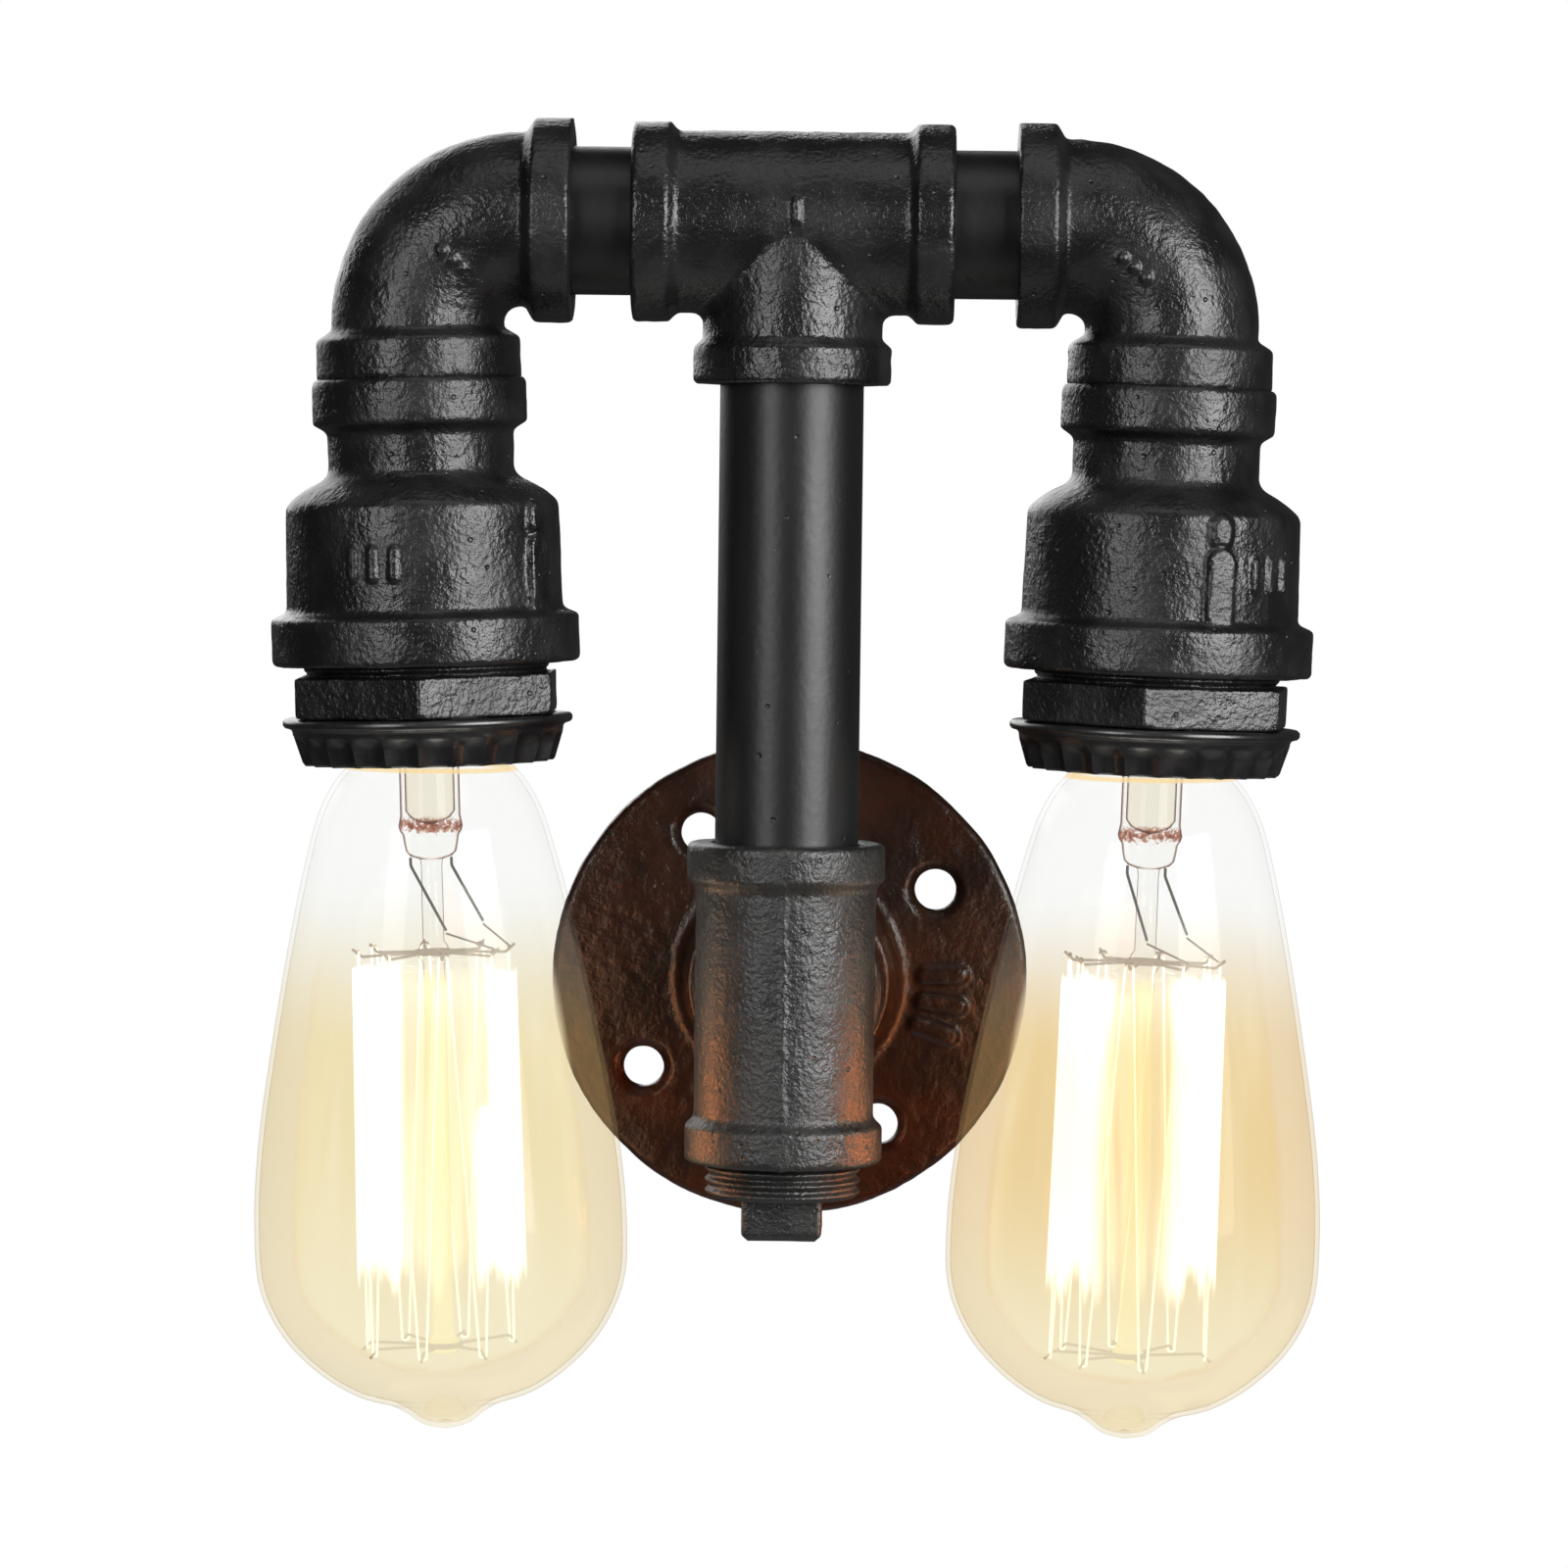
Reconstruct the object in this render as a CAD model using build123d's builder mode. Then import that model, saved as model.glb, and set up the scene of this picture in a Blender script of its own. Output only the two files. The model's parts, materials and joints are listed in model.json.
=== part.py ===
from build123d import *
import math
import os

os.makedirs("parts", exist_ok=True)

# Industrial pipe wall light: wall flange, pipe riser, two swivelling arms and two bulbs.
# Millimetres. Origin: centre of the flange's back face, on the wall. +X right, -Y front, +Z up.

# ---- fits -------------------------------------------------------------------------------
swivel_fit = 0.05  # radial clearance of a nipple in the elbow that turns on it
thread_fit = 0.10  # radial clearance of every other made-up thread
face_gap = 0.2  # clearance between faces that only meet

# ---- shared pipe sizes ------------------------------------------------------------------
nipple_d = 25.2
nipple_bore = 19.4
riser_d = 24.5
riser_bore = 19.3
passage_d = 21.0  # inner passage of every cast fitting
socket_depth = 11.0  # how far a pipe end enters a fitting
edge_round = 0.6  # rounding of a cast band's outer edge

# ---- wall flange ------------------------------------------------------------------------
flange_d = 85.0
flange_t = 4.5
flange_edge = 1.2
hub_base_d = 39.5
hub_top_d = 36.0
hub_height = 14.25
hub_fillet = 2.5
hole_count = 4
hole_circle_d = 61.2
hole_d = 7.2
hole_mouth_d = 10.4
hole_mouth_depth = 1.5
hole_turn = 32.0

# ---- tees -------------------------------------------------------------------------------
tee_half_run = 27.4
tee_reach = 27.5
tee_body_d = 30.8
tee_branch_d = 30.3
tee_band_d = 33.9
tee_band_w = 6.2
tee_band_slope = 1.5
tee_throat = (tee_half_run - tee_band_w - tee_band_slope - tee_branch_d / 2) * 4 / 9

# ---- placing ----------------------------------------------------------------------------
back_nipple_shown = 10.25
pipe_y = -(hub_height + back_nipple_shown + tee_reach)
run_z = 133.0
left_elbow_x = 64.6
right_elbow_x = 65.0
left_lean = 2.0  # each arm leans inwards, degrees
right_lean = 1.6

# ---- bottom plug ------------------------------------------------------------------------
plug_thread_d = 26.6
plug_pitch = 1.814
plug_thread_depth = 0.95
plug_inside = 9.5
plug_shown = 5.9
plug_head_w = 13.7
plug_head_h = 7.2
plug_bore = 18.0

# ---- elbows -----------------------------------------------------------------------------
elbow_reach = 27.0
elbow_body_d = 29.4
elbow_bend = 17.6
elbow_band_d = 34.7
elbow_band_w = 6.5
elbow_band_slope = 1.6
elbow_socket = 10.0

# ---- hexagon bushes (distances along the arm from the run axis) -------------------------
bush_thread_d = 41.9
bush_pitch = 2.309
bush_thread_depth = 1.2
bush_top = 64.5
bush_hex_top = 77.6
bush_bottom = 84.5
bush_wall = 3.45
hex_over_thread = 1.5
bush_hex_af = bush_thread_d + hex_over_thread
bush_bore = bush_thread_d - 2 * bush_wall

# ---- reducing couplings (distances along the arm from the run axis) ---------------------
reducer_top = 27.5
reducer_small_band_d = 36.5
reducer_small_band_end = 34.7
reducer_neck_d = 31.8
reducer_neck_start = 36.2
reducer_neck_end = 42.0
reducer_wall = 2.35
reducer_taper = 0.6
reducer_body_d = bush_thread_d + 2 * reducer_wall
reducer_body_end_d = reducer_body_d + reducer_taper
reducer_body_start = 49.6
reducer_body_end = 66.6
reducer_band_wall = 5.3
reducer_big_band_d = bush_thread_d + 2 * reducer_band_wall
reducer_big_band_start = 67.8
reducer_end = 75.8
reducer_socket_end = 38.3
reducer_lip = 0.75
reducer_cavity_d = bush_thread_d - 2 * reducer_lip
reducer_cavity_start = 50.6
reducer_thread_top = 64.0
rib_w = 4.8
rib_proud = 1.3
rib_top = 54.0

# ---- lampholders ------------------------------------------------------------------------
skirt_fit = 0.3
skirt_wall = 2.75
holder_skirt_d = bush_bore - 2 * skirt_fit
shoulder_fit = 1.0
holder_shoulder_d = reducer_cavity_d - 2 * shoulder_fit
holder_shoulder_top = 61.5
holder_top = 51.5
holder_body_d = holder_skirt_d - 1.4
holder_bottom = 92.2
holder_cavity_d = holder_skirt_d - 2 * skirt_wall
holder_cavity_top = 65.6
shell_fit = 0.3
shell_d = holder_cavity_d - 2 * shell_fit
shell_wall = 0.5
shell_bottom = 86.0
shell_hole_d = 14.8
contact_d = 9.0
contact_t = 0.8
rivet_d = 2.6
rivet_fit = 0.05
rivet_x = 10.2
terminal_l = 6.4
terminal_w = 5.2
terminal_h = 4.6
terminal_screw_d = 3.2
terminal_hole_d = 2.2
centre_terminal_x = -4.2

# ---- shade rings ------------------------------------------------------------------------
ring_rim_over_hex = 6.1
ring_over_hex = 3.0
ring_flange_d = bush_hex_af + ring_rim_over_hex
ring_flange_t = 1.5
ring_top_d = bush_hex_af + ring_over_hex
ring_bottom_d = bush_hex_af
ring_bottom = 92.7
flute_count = 24
flute_r = 2.1
flute_depth = 1.0

# ---- bulbs ------------------------------------------------------------------------------
cap_top = 70.2
cap_bottom = 90.0
cap_fit = 1.0
cap_thread_depth = 0.7
cap_crest_d = shell_d - 2 * cap_fit
cap_root_d = cap_crest_d - 2 * cap_thread_depth
cap_pitch = 3.62
cap_wall = 0.35
cap_hole_d = 15.2
cap_insulator_top = 68.3
cap_contact_top = 67.6
cap_contact_d = 9.4
glass_wall = 0.8
glass_neck_top = 74.0
neck_fit = 0.75
glass_neck_r = cap_root_d / 2 - neck_fit
# outer radius of the glass against distance along the arm
glass_profile = [
    (88.0, glass_neck_r + 0.05),
    (92.2, glass_neck_r + 1.8),
    (96.2, glass_neck_r + 4.9),
    (101.0, 19.1),
    (108.0, 21.2),
    (121.5, 24.4),
    (141.5, 28.3),
    (158.0, 31.0),
    (172.0, 32.0),
    (182.5, 31.3),
    (190.5, 27.6),
    (196.8, 21.8),
    (200.9, 15.6),
    (202.6, 10.4),
]
tip_radius_in = 8.6
glass_tip = 207.5
stem_tube_d = 10.3
stem_wall = 0.9
stem_top = 78.0
flare_fit = 0.2
stem_flare_d = 2 * (glass_neck_r - glass_wall - flare_fit)
stem_flare_h = 7.0
stem_press_top = 102.5
stem_bottom = 108.8
rod_d = 3.7
bead_d = 5.4
bead_half = 1.6
upper_bead = 125.3
lower_bead = 193.0
hook_wire_d = 0.5
hook_reach_upper = 14.0
hook_reach_lower = 14.5
collar_t = 0.9
lead_wire_d = 0.5
filament_d = 0.36
filament_bend = 0.45
filament_loop = 1.3  # width of the turn over each hook
filament_spans = 16  # corners in a full round; the leads take the place of the last one
lead_end_a = (8.8, -3.0, -119.9)
lead_end_b = (2.6, -5.6, -121.2)

# ---- cables -----------------------------------------------------------------------------
cable_d = 5.2
cable_x = 3.1
cable_bend_low = 14.0
cable_bend_high = 12.0
cable_bend_elbow = 15.0
cable_wall_end = 8.0
core_d = 1.9
core_x = 1.05
core_bend = 1.2
core_wall_end = 1.2
cable_split_x = 47.7
cable_split_gap = 0.15
cable_holder_end = 40.0

# The arm frames: X points along the run towards the top tee, -Z runs down the arm.
sides = {"left": -1, "right": 1}
elbow_x = {"left": left_elbow_x, "right": right_elbow_x}
arm_lean = {"left": left_lean, "right": right_lean}
base_at = {}
arm_at = {}
for side, sign in sides.items():
    turn = 0 if sign < 0 else 180
    base_at[side] = Location((sign * elbow_x[side], pipe_y, run_z), (0, 0, turn))
    arm_at[side] = base_at[side] * Location((0, 0, 0), (0, -arm_lean[side], 0))

# Ribs of the two couplings and corners of the bushes, angles about the arm in its own frame.
rib_turn = {"left": -32.0, "right": 112.0}
hex_turn = {"left": 31.3, "right": 23.4}
bulb_turn = {"left": 0.0, "right": 155.0}


def keep(piece, label, place=Location()):
    """Name a finished piece, put it in its place and write its file."""
    placed = piece.part.moved(place)
    placed.label = label
    export_step(placed, f"parts/{label}.step")


def turned(profile, axis=Axis.Z):
    """A solid of revolution from (radius, height) corners about Z."""
    with BuildPart() as piece:
        with BuildSketch(Plane.XZ):
            with BuildLine():
                Polyline(*profile, close=True)
            make_face()
        revolve(axis=axis)
    return piece


def tube(outer_d, inner_d, start, end, chamfer_by=0.5):
    """A pipe along Z from start to end, with chamfered outer ends."""
    r = outer_d / 2
    low, high = min(start, end), max(start, end)
    return turned(
        [
            (inner_d / 2, low),
            (r - chamfer_by, low),
            (r, low + chamfer_by),
            (r, high - chamfer_by),
            (r - chamfer_by, high),
            (inner_d / 2, high),
        ]
    )


def threaded(root_r, crest_r, pitch, start, end):
    """Corners of a run of thread ridges, from start down to end, as (radius, height)."""
    count = max(1, int((start - end) / pitch))
    step = (start - end) / count
    corners = [(root_r, start)]
    for i in range(count):
        top = start - i * step
        corners += [
            (crest_r, top - step * 0.42),
            (crest_r, top - step * 0.58),
            (root_r, top - step),
        ]
    return corners


# ---- wall flange ------------------------------------------------------------------------
hub_wall_r = nipple_d / 2 + thread_fit
with BuildPart() as wall_flange:
    with BuildSketch(Plane.XZ):
        with BuildLine():
            Polyline(
                (hub_wall_r, 0),
                (flange_d / 2, 0),
                (flange_d / 2, flange_t),
                (hub_base_d / 2, flange_t),
                (hub_top_d / 2, hub_height),
                (hub_wall_r, hub_height),
                close=True,
            )
        make_face()
    revolve(axis=Axis.Z)
    circles = wall_flange.edges().filter_by(GeomType.CIRCLE)
    fillet(
        circles.filter_by(lambda e: abs(e.radius - hub_base_d / 2) < 0.01 and e.center().Z > 1),
        radius=hub_fillet,
    )
    circles = wall_flange.edges().filter_by(GeomType.CIRCLE)
    fillet(
        circles.filter_by(lambda e: abs(e.radius - flange_d / 2) < 0.01 and e.center().Z > 1),
        radius=flange_edge,
    )
    circles = wall_flange.edges().filter_by(GeomType.CIRCLE)
    fillet(
        circles.filter_by(lambda e: abs(e.radius - hub_top_d / 2) < 0.01),
        radius=edge_round,
    )
    with BuildSketch():
        with PolarLocations(hole_circle_d / 2, hole_count, start_angle=hole_turn):
            Circle(hole_d / 2)
    extrude(amount=flange_t, mode=Mode.SUBTRACT)
    with Locations((0, 0, flange_t)):
        with PolarLocations(hole_circle_d / 2, hole_count, start_angle=hole_turn):
            Cone(
                hole_d / 2 - 0.2,
                hole_mouth_d / 2,
                hole_mouth_depth + 0.2,
                align=(Align.CENTER, Align.CENTER, Align.MAX),
                mode=Mode.SUBTRACT,
            )
# Built lying on XY with the hub up; stood against the wall with the hub to the front.
flange_at = Location((0, 0, 0), (90, 0, 0))
keep(wall_flange, "wall_flange", flange_at)

# ---- back nipple, along -Y from the flange to the lower tee -------------------------------
back_nipple = tube(
    nipple_d,
    nipple_bore,
    1.5,
    hub_height + back_nipple_shown + socket_depth,
)
keep(back_nipple, "back_nipple", flange_at)


# ---- tees -------------------------------------------------------------------------------
def banded_end(body_d, band_d, band_w, slope, reach):
    """Corners of a cast socket end along Z from 0 up to reach."""
    return [
        (0, 0),
        (0, reach),
        (band_d / 2 - edge_round, reach),
        (band_d / 2, reach - edge_round),
        (band_d / 2, reach - band_w),
        (body_d / 2, reach - band_w - slope),
        (body_d / 2, 0),
    ]


def tee(end_a, end_b, branch):
    """A tee with its run along X and its branch down -Z; arguments are socket diameters."""
    with BuildPart() as piece:
        with BuildSketch(Plane.XZ):
            with BuildLine():
                half = [
                    (x, r)
                    for r, x in banded_end(
                        tee_body_d, tee_band_d, tee_band_w, tee_band_slope, tee_half_run
                    )[1:-1]
                ]
                Polyline(*half, *[(-x, r) for x, r in reversed(half)], close=True)
            make_face()
        revolve(axis=Axis.X)
        with BuildSketch(Plane.XZ):
            with BuildLine():
                Polyline(
                    *[
                        (r, -z)
                        for r, z in banded_end(
                            tee_branch_d, tee_band_d - 0.4, tee_band_w, tee_band_slope, tee_reach
                        )
                    ],
                    close=True,
                )
            make_face()
        revolve(axis=Axis.Z)
        saddle = piece.edges().filter_by(
            lambda e: e.geom_type not in (GeomType.CIRCLE, GeomType.LINE)
        )
        fillet(saddle, radius=tee_throat)
        for sign, bore in ((1, end_a), (-1, end_b)):
            with Locations(Location((sign * (tee_half_run + 0.5), 0, 0), (0, 90, 0))):
                Cylinder(bore / 2, 2 * (socket_depth + 1), mode=Mode.SUBTRACT)
        with Locations((0, 0, -tee_reach - 0.5)):
            Cylinder(branch / 2, 2 * (socket_depth + 1), mode=Mode.SUBTRACT)
        with Locations(Location((0, 0, 0), (0, 90, 0))):
            Cylinder(passage_d / 2, 2 * tee_half_run, mode=Mode.SUBTRACT)
        Cylinder(
            passage_d / 2,
            tee_reach,
            align=(Align.CENTER, Align.CENTER, Align.MAX),
            mode=Mode.SUBTRACT,
        )
    return piece


nipple_socket_d = nipple_d + 2 * thread_fit
riser_socket_d = riser_d + 2 * thread_fit
plug_socket_d = plug_thread_d + 2 * thread_fit

top_tee = tee(nipple_socket_d, nipple_socket_d, riser_socket_d)
keep(top_tee, "top_tee", Location((0, pipe_y, run_z)))

lower_tee = tee(riser_socket_d, plug_socket_d, nipple_socket_d)
lower_tee_at = Location(Plane(origin=(0, pipe_y, 0), x_dir=(0, 0, 1), z_dir=(0, -1, 0)))
keep(lower_tee, "lower_tee", lower_tee_at)

# ---- riser ------------------------------------------------------------------------------
riser = tube(
    riser_d,
    riser_bore,
    tee_half_run - socket_depth,
    run_z - tee_reach + socket_depth,
)
keep(riser, "riser_pipe", Location((0, pipe_y, 0)))

# ---- bottom plug ------------------------------------------------------------------------
plug_r = plug_thread_d / 2
plug_face = -tee_half_run - plug_shown
with BuildPart() as plug:
    with BuildSketch(Plane.XZ):
        with BuildLine():
            Polyline(
                (0, -tee_half_run + plug_inside - 3.0),
                (plug_bore / 2, -tee_half_run + plug_inside - 3.0),
                (plug_bore / 2, -tee_half_run + plug_inside),
                *threaded(
                    plug_r - plug_thread_depth,
                    plug_r,
                    plug_pitch,
                    -tee_half_run + plug_inside,
                    plug_face,
                ),
                (0, plug_face),
                close=True,
            )
        make_face()
    revolve(axis=Axis.Z)
    with BuildSketch(Plane.XY.offset(plug_face - plug_head_h)):
        Rectangle(plug_head_w, plug_head_w)
    extrude(amount=plug_head_h + 0.5)
    low_edges = plug.edges().group_by(Axis.Z)[0]
    chamfer(low_edges, length=1.1)
    fillet(
        plug.edges()
        .filter_by(Axis.Z)
        .filter_by(lambda e: e.length > plug_head_h / 2),
        radius=0.8,
    )
keep(plug, "bottom_plug", Location((0, pipe_y, 0)))

# ---- run nipples, each the pivot of its arm's elbow --------------------------------------
run_nipple_in = tee_half_run - socket_depth
for side, sign in sides.items():
    run_nipple_out = elbow_x[side] - elbow_reach + elbow_socket - face_gap
    nipple = tube(nipple_d, nipple_bore, run_nipple_in, run_nipple_out)
    keep(
        nipple,
        f"{side}_run_nipple",
        Location((0, pipe_y, run_z), (0, sign * 90, 0)),
    )


# ---- elbows -----------------------------------------------------------------------------
run_plane = Plane(origin=(0, 0, 0), x_dir=(0, 0, -1), z_dir=(1, 0, 0))


def along_arm(side, distance):
    """Point on the arm axis in the elbow's own frame."""
    lean = math.radians(arm_lean[side])
    return (math.sin(lean) * distance, 0, -math.cos(lean) * distance)


def elbow(side):
    """An elbow from +X to the arm's direction, with a band at each end."""
    inner = elbow_reach - elbow_band_w
    down = along_arm(side, 1)
    arm_plane = Plane(origin=(0, 0, 0), x_dir=(-down[2], 0, down[0]), z_dir=down)
    with BuildPart() as piece:
        with BuildLine() as bend:
            FilletPolyline((inner, 0, 0), (0, 0, 0), along_arm(side, inner), radius=elbow_bend)
        with BuildSketch(Plane(origin=(inner, 0, 0), x_dir=(0, 1, 0), z_dir=(-1, 0, 0))):
            Circle(elbow_body_d / 2)
        sweep(path=bend.line)
        for plane in (run_plane, arm_plane):
            with BuildSketch(plane.offset(elbow_reach)):
                Circle(elbow_band_d / 2)
            extrude(amount=-elbow_band_w)
            with BuildSketch(plane.offset(inner)):
                Circle(elbow_band_d / 2)
            with BuildSketch(plane.offset(inner - elbow_band_slope)):
                Circle(elbow_body_d / 2)
            loft()
        outer_rims = piece.edges().filter_by(GeomType.CIRCLE)
        outer_rims = outer_rims.filter_by(
            lambda e: abs(e.radius - elbow_band_d / 2) < 0.01
            and abs(e.center().length - elbow_reach) < 0.3
        )
        fillet(outer_rims, radius=edge_round)
        with BuildLine() as way:
            FilletPolyline(
                (elbow_reach, 0, 0),
                (0, 0, 0),
                along_arm(side, elbow_reach),
                radius=elbow_bend,
            )
        with BuildSketch(Plane(origin=(elbow_reach, 0, 0), x_dir=(0, 1, 0), z_dir=(-1, 0, 0))):
            Circle(passage_d / 2)
        sweep(path=way.line, mode=Mode.SUBTRACT)
        for plane, fit in ((run_plane, swivel_fit), (arm_plane, thread_fit)):
            with BuildSketch(plane.offset(elbow_reach)):
                Circle(nipple_d / 2 + fit)
            extrude(amount=-elbow_socket, mode=Mode.SUBTRACT)
    return piece


for side in sides:
    keep(elbow(side), f"{side}_elbow", base_at[side])

# ---- close nipples between elbow and coupling --------------------------------------------
close_top = elbow_reach - elbow_socket + face_gap
for side in sides:
    keep(
        tube(nipple_d, nipple_bore, -close_top, -(reducer_socket_end - face_gap)),
        f"{side}_close_nipple",
        arm_at[side],
    )


# ---- reducing couplings -----------------------------------------------------------------
def reducer(turn):
    """A reducing coupling with two ribs, one of them at the given angle."""
    body_r = reducer_body_d / 2
    neck_r = reducer_neck_d / 2
    with BuildPart() as piece:
        with BuildSketch(Plane.XZ):
            with BuildLine():
                inner_top = (nipple_d / 2 + thread_fit, -reducer_top)
                Polyline(
                    inner_top,
                    (reducer_small_band_d / 2 - edge_round, -reducer_top),
                    (reducer_small_band_d / 2, -reducer_top - edge_round),
                    (reducer_small_band_d / 2, -reducer_small_band_end),
                    (neck_r, -reducer_neck_start),
                    (neck_r, -reducer_neck_end),
                )
                Spline(
                    (neck_r, -reducer_neck_end),
                    (neck_r + 2.6, -reducer_neck_end - 3.0),
                    (body_r - 1.1, -reducer_body_start + 2.1),
                    (body_r, -reducer_body_start),
                    tangents=((0, -1), (0, -1)),
                )
                Polyline(
                    (body_r, -reducer_body_start),
                    (reducer_body_end_d / 2, -reducer_body_end),
                    (reducer_big_band_d / 2, -reducer_big_band_start),
                    (reducer_big_band_d / 2, -reducer_end + edge_round),
                    (reducer_big_band_d / 2 - edge_round, -reducer_end),
                    (bush_thread_d / 2 + thread_fit, -reducer_end),
                    (bush_thread_d / 2 + thread_fit, -reducer_thread_top),
                    (reducer_cavity_d / 2, -reducer_thread_top + 0.6),
                    (reducer_cavity_d / 2, -reducer_cavity_start),
                    (passage_d / 2 + 1.5, -reducer_neck_end - 0.4),
                    (passage_d / 2, -reducer_neck_end + 1.0),
                    (passage_d / 2, -reducer_socket_end),
                    (nipple_d / 2 + thread_fit, -reducer_socket_end),
                    inner_top,
                )
            make_face()
        revolve(axis=Axis.Z)
        for angle in (turn, turn + 180):
            rib_plane = Plane(
                origin=(0, 0, 0),
                x_dir=(-math.sin(math.radians(angle)), math.cos(math.radians(angle)), 0),
                z_dir=(math.cos(math.radians(angle)), math.sin(math.radians(angle)), 0),
            )
            with BuildSketch(rib_plane.offset(body_r - 1.0)):
                with Locations((0, -(rib_top + rib_w / 2))):
                    Circle(rib_w / 2)
                with Locations((0, -(rib_top + rib_w / 2 + reducer_big_band_start) / 2)):
                    Rectangle(rib_w, reducer_big_band_start - rib_top - rib_w / 2)
            extrude(amount=1.0 + rib_proud)
    return piece


for side in sides:
    keep(reducer(rib_turn[side]), f"{side}_reducer", arm_at[side])

# ---- hexagon bushes ---------------------------------------------------------------------
for side in sides:
    bush_r = bush_thread_d / 2
    bush = turned(
        [
            (bush_bore / 2, -bush_top),
            *threaded(bush_r - bush_thread_depth, bush_r, bush_pitch, -bush_top, -bush_hex_top),
            (bush_r - bush_thread_depth, -bush_hex_top - 1.0),
            (bush_bore / 2, -bush_hex_top - 1.0),
        ]
    )
    with BuildPart() as hex_bush:
        add(bush.part)
        with BuildSketch(Plane.XY.offset(-bush_bottom)):
            RegularPolygon(
                bush_hex_af / 2,
                6,
                major_radius=False,
                rotation=hex_turn[side],
            )
            Circle(bush_bore / 2, mode=Mode.SUBTRACT)
        extrude(amount=bush_bottom - bush_hex_top)
        with BuildSketch(Plane.XZ):
            with BuildLine():
                corner = bush_hex_af / 2 / math.cos(math.pi / 6)
                Polyline(
                    (corner - 1.0, -bush_bottom),
                    (corner + 1.0, -bush_bottom),
                    (corner + 1.0, -bush_bottom + 1.2),
                    close=True,
                )
            make_face()
        revolve(axis=Axis.Z, mode=Mode.SUBTRACT)
    keep(hex_bush, f"{side}_hex_bush", arm_at[side])

# ---- lampholders ------------------------------------------------------------------------
terminal_z = -holder_top + face_gap / 2
for side in sides:
    with BuildPart() as holder:
        with BuildSketch(Plane.XZ):
            with BuildLine():
                Polyline(
                    (0, -holder_top),
                    (holder_body_d / 2 - 1.0, -holder_top),
                    (holder_body_d / 2, -holder_top - 1.0),
                    (holder_body_d / 2, -holder_shoulder_top),
                    (holder_shoulder_d / 2, -holder_shoulder_top),
                    (holder_shoulder_d / 2, -bush_top + face_gap / 4),
                    (holder_skirt_d / 2, -bush_top + face_gap / 4),
                    (holder_skirt_d / 2, -holder_bottom + 0.5),
                    (holder_skirt_d / 2 - 0.5, -holder_bottom),
                    (holder_cavity_d / 2, -holder_bottom),
                    (holder_cavity_d / 2, -holder_cavity_top),
                    (0, -holder_cavity_top),
                    close=True,
                )
            make_face()
        revolve(axis=Axis.Z)
        with Locations((rivet_x, 0, -holder_top), (centre_terminal_x, 0, -holder_top)):
            Cylinder(
                rivet_d / 2 + rivet_fit,
                2 * (holder_cavity_top - holder_top) + 2,
                mode=Mode.SUBTRACT,
            )
    keep(holder, f"{side}_holder_body", arm_at[side])

    with BuildPart() as shell:
        with BuildSketch(Plane.XZ):
            with BuildLine():
                Polyline(
                    (shell_hole_d / 2, -holder_cavity_top - 0.05),
                    (shell_d / 2, -holder_cavity_top - 0.05),
                    (shell_d / 2, -shell_bottom),
                    (shell_d / 2 - shell_wall, -shell_bottom),
                    (shell_d / 2 - shell_wall, -holder_cavity_top - 0.05 - shell_wall),
                    (shell_hole_d / 2, -holder_cavity_top - 0.05 - shell_wall),
                    close=True,
                )
            make_face()
        revolve(axis=Axis.Z)
        with Locations((rivet_x, 0, -holder_cavity_top - 0.1)):
            Cylinder(
                rivet_d / 2,
                holder_cavity_top - holder_top,
                align=(Align.CENTER, Align.CENTER, Align.MIN),
            )
    keep(shell, f"{side}_screw_shell", arm_at[side])

    with BuildPart() as contact:
        with BuildSketch(Plane.XY.offset(-holder_cavity_top - 0.05)):
            Circle(contact_d / 2)
            with Locations((centre_terminal_x + 1.0, 0)):
                Circle(rivet_d / 2 + 0.9)
        extrude(amount=-contact_t)
        with Locations((centre_terminal_x, 0, -holder_cavity_top - 0.1)):
            Cylinder(
                rivet_d / 2,
                holder_cavity_top - holder_top,
                align=(Align.CENTER, Align.CENTER, Align.MIN),
            )
        with Locations((0, 0, -holder_cavity_top - contact_t - 0.05)):
            Cone(2.2, 3.2, 0.6, align=(Align.CENTER, Align.CENTER, Align.MAX))
    keep(contact, f"{side}_centre_contact", arm_at[side])

    with BuildPart() as terminals:
        with BuildSketch(Plane.XY.offset(terminal_z)):
            with Locations((rivet_x, 0), (centre_terminal_x, 0)):
                Rectangle(terminal_w, terminal_l)
        extrude(amount=terminal_h)
        with BuildSketch(Plane.XY.offset(terminal_z + 1.0)):
            with Locations(
                (rivet_x, terminal_l / 4),
                (centre_terminal_x, terminal_l / 4),
            ):
                Circle(terminal_hole_d / 2)
        extrude(amount=terminal_h, mode=Mode.SUBTRACT)
        with BuildSketch(Plane.XY.offset(terminal_z + terminal_h)):
            with Locations(
                (rivet_x, -terminal_l / 4),
                (centre_terminal_x, -terminal_l / 4),
            ):
                Circle(terminal_screw_d / 2 - 0.1)
        extrude(amount=0.8)
        with BuildSketch(Plane.XY.offset(terminal_z + terminal_h + 0.4)):
            with Locations(
                (rivet_x, -terminal_l / 4),
                (centre_terminal_x, -terminal_l / 4),
            ):
                Rectangle(terminal_screw_d + 1, 0.6)
        extrude(amount=1, mode=Mode.SUBTRACT)
    keep(terminals, f"{side}_terminals", arm_at[side])

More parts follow.
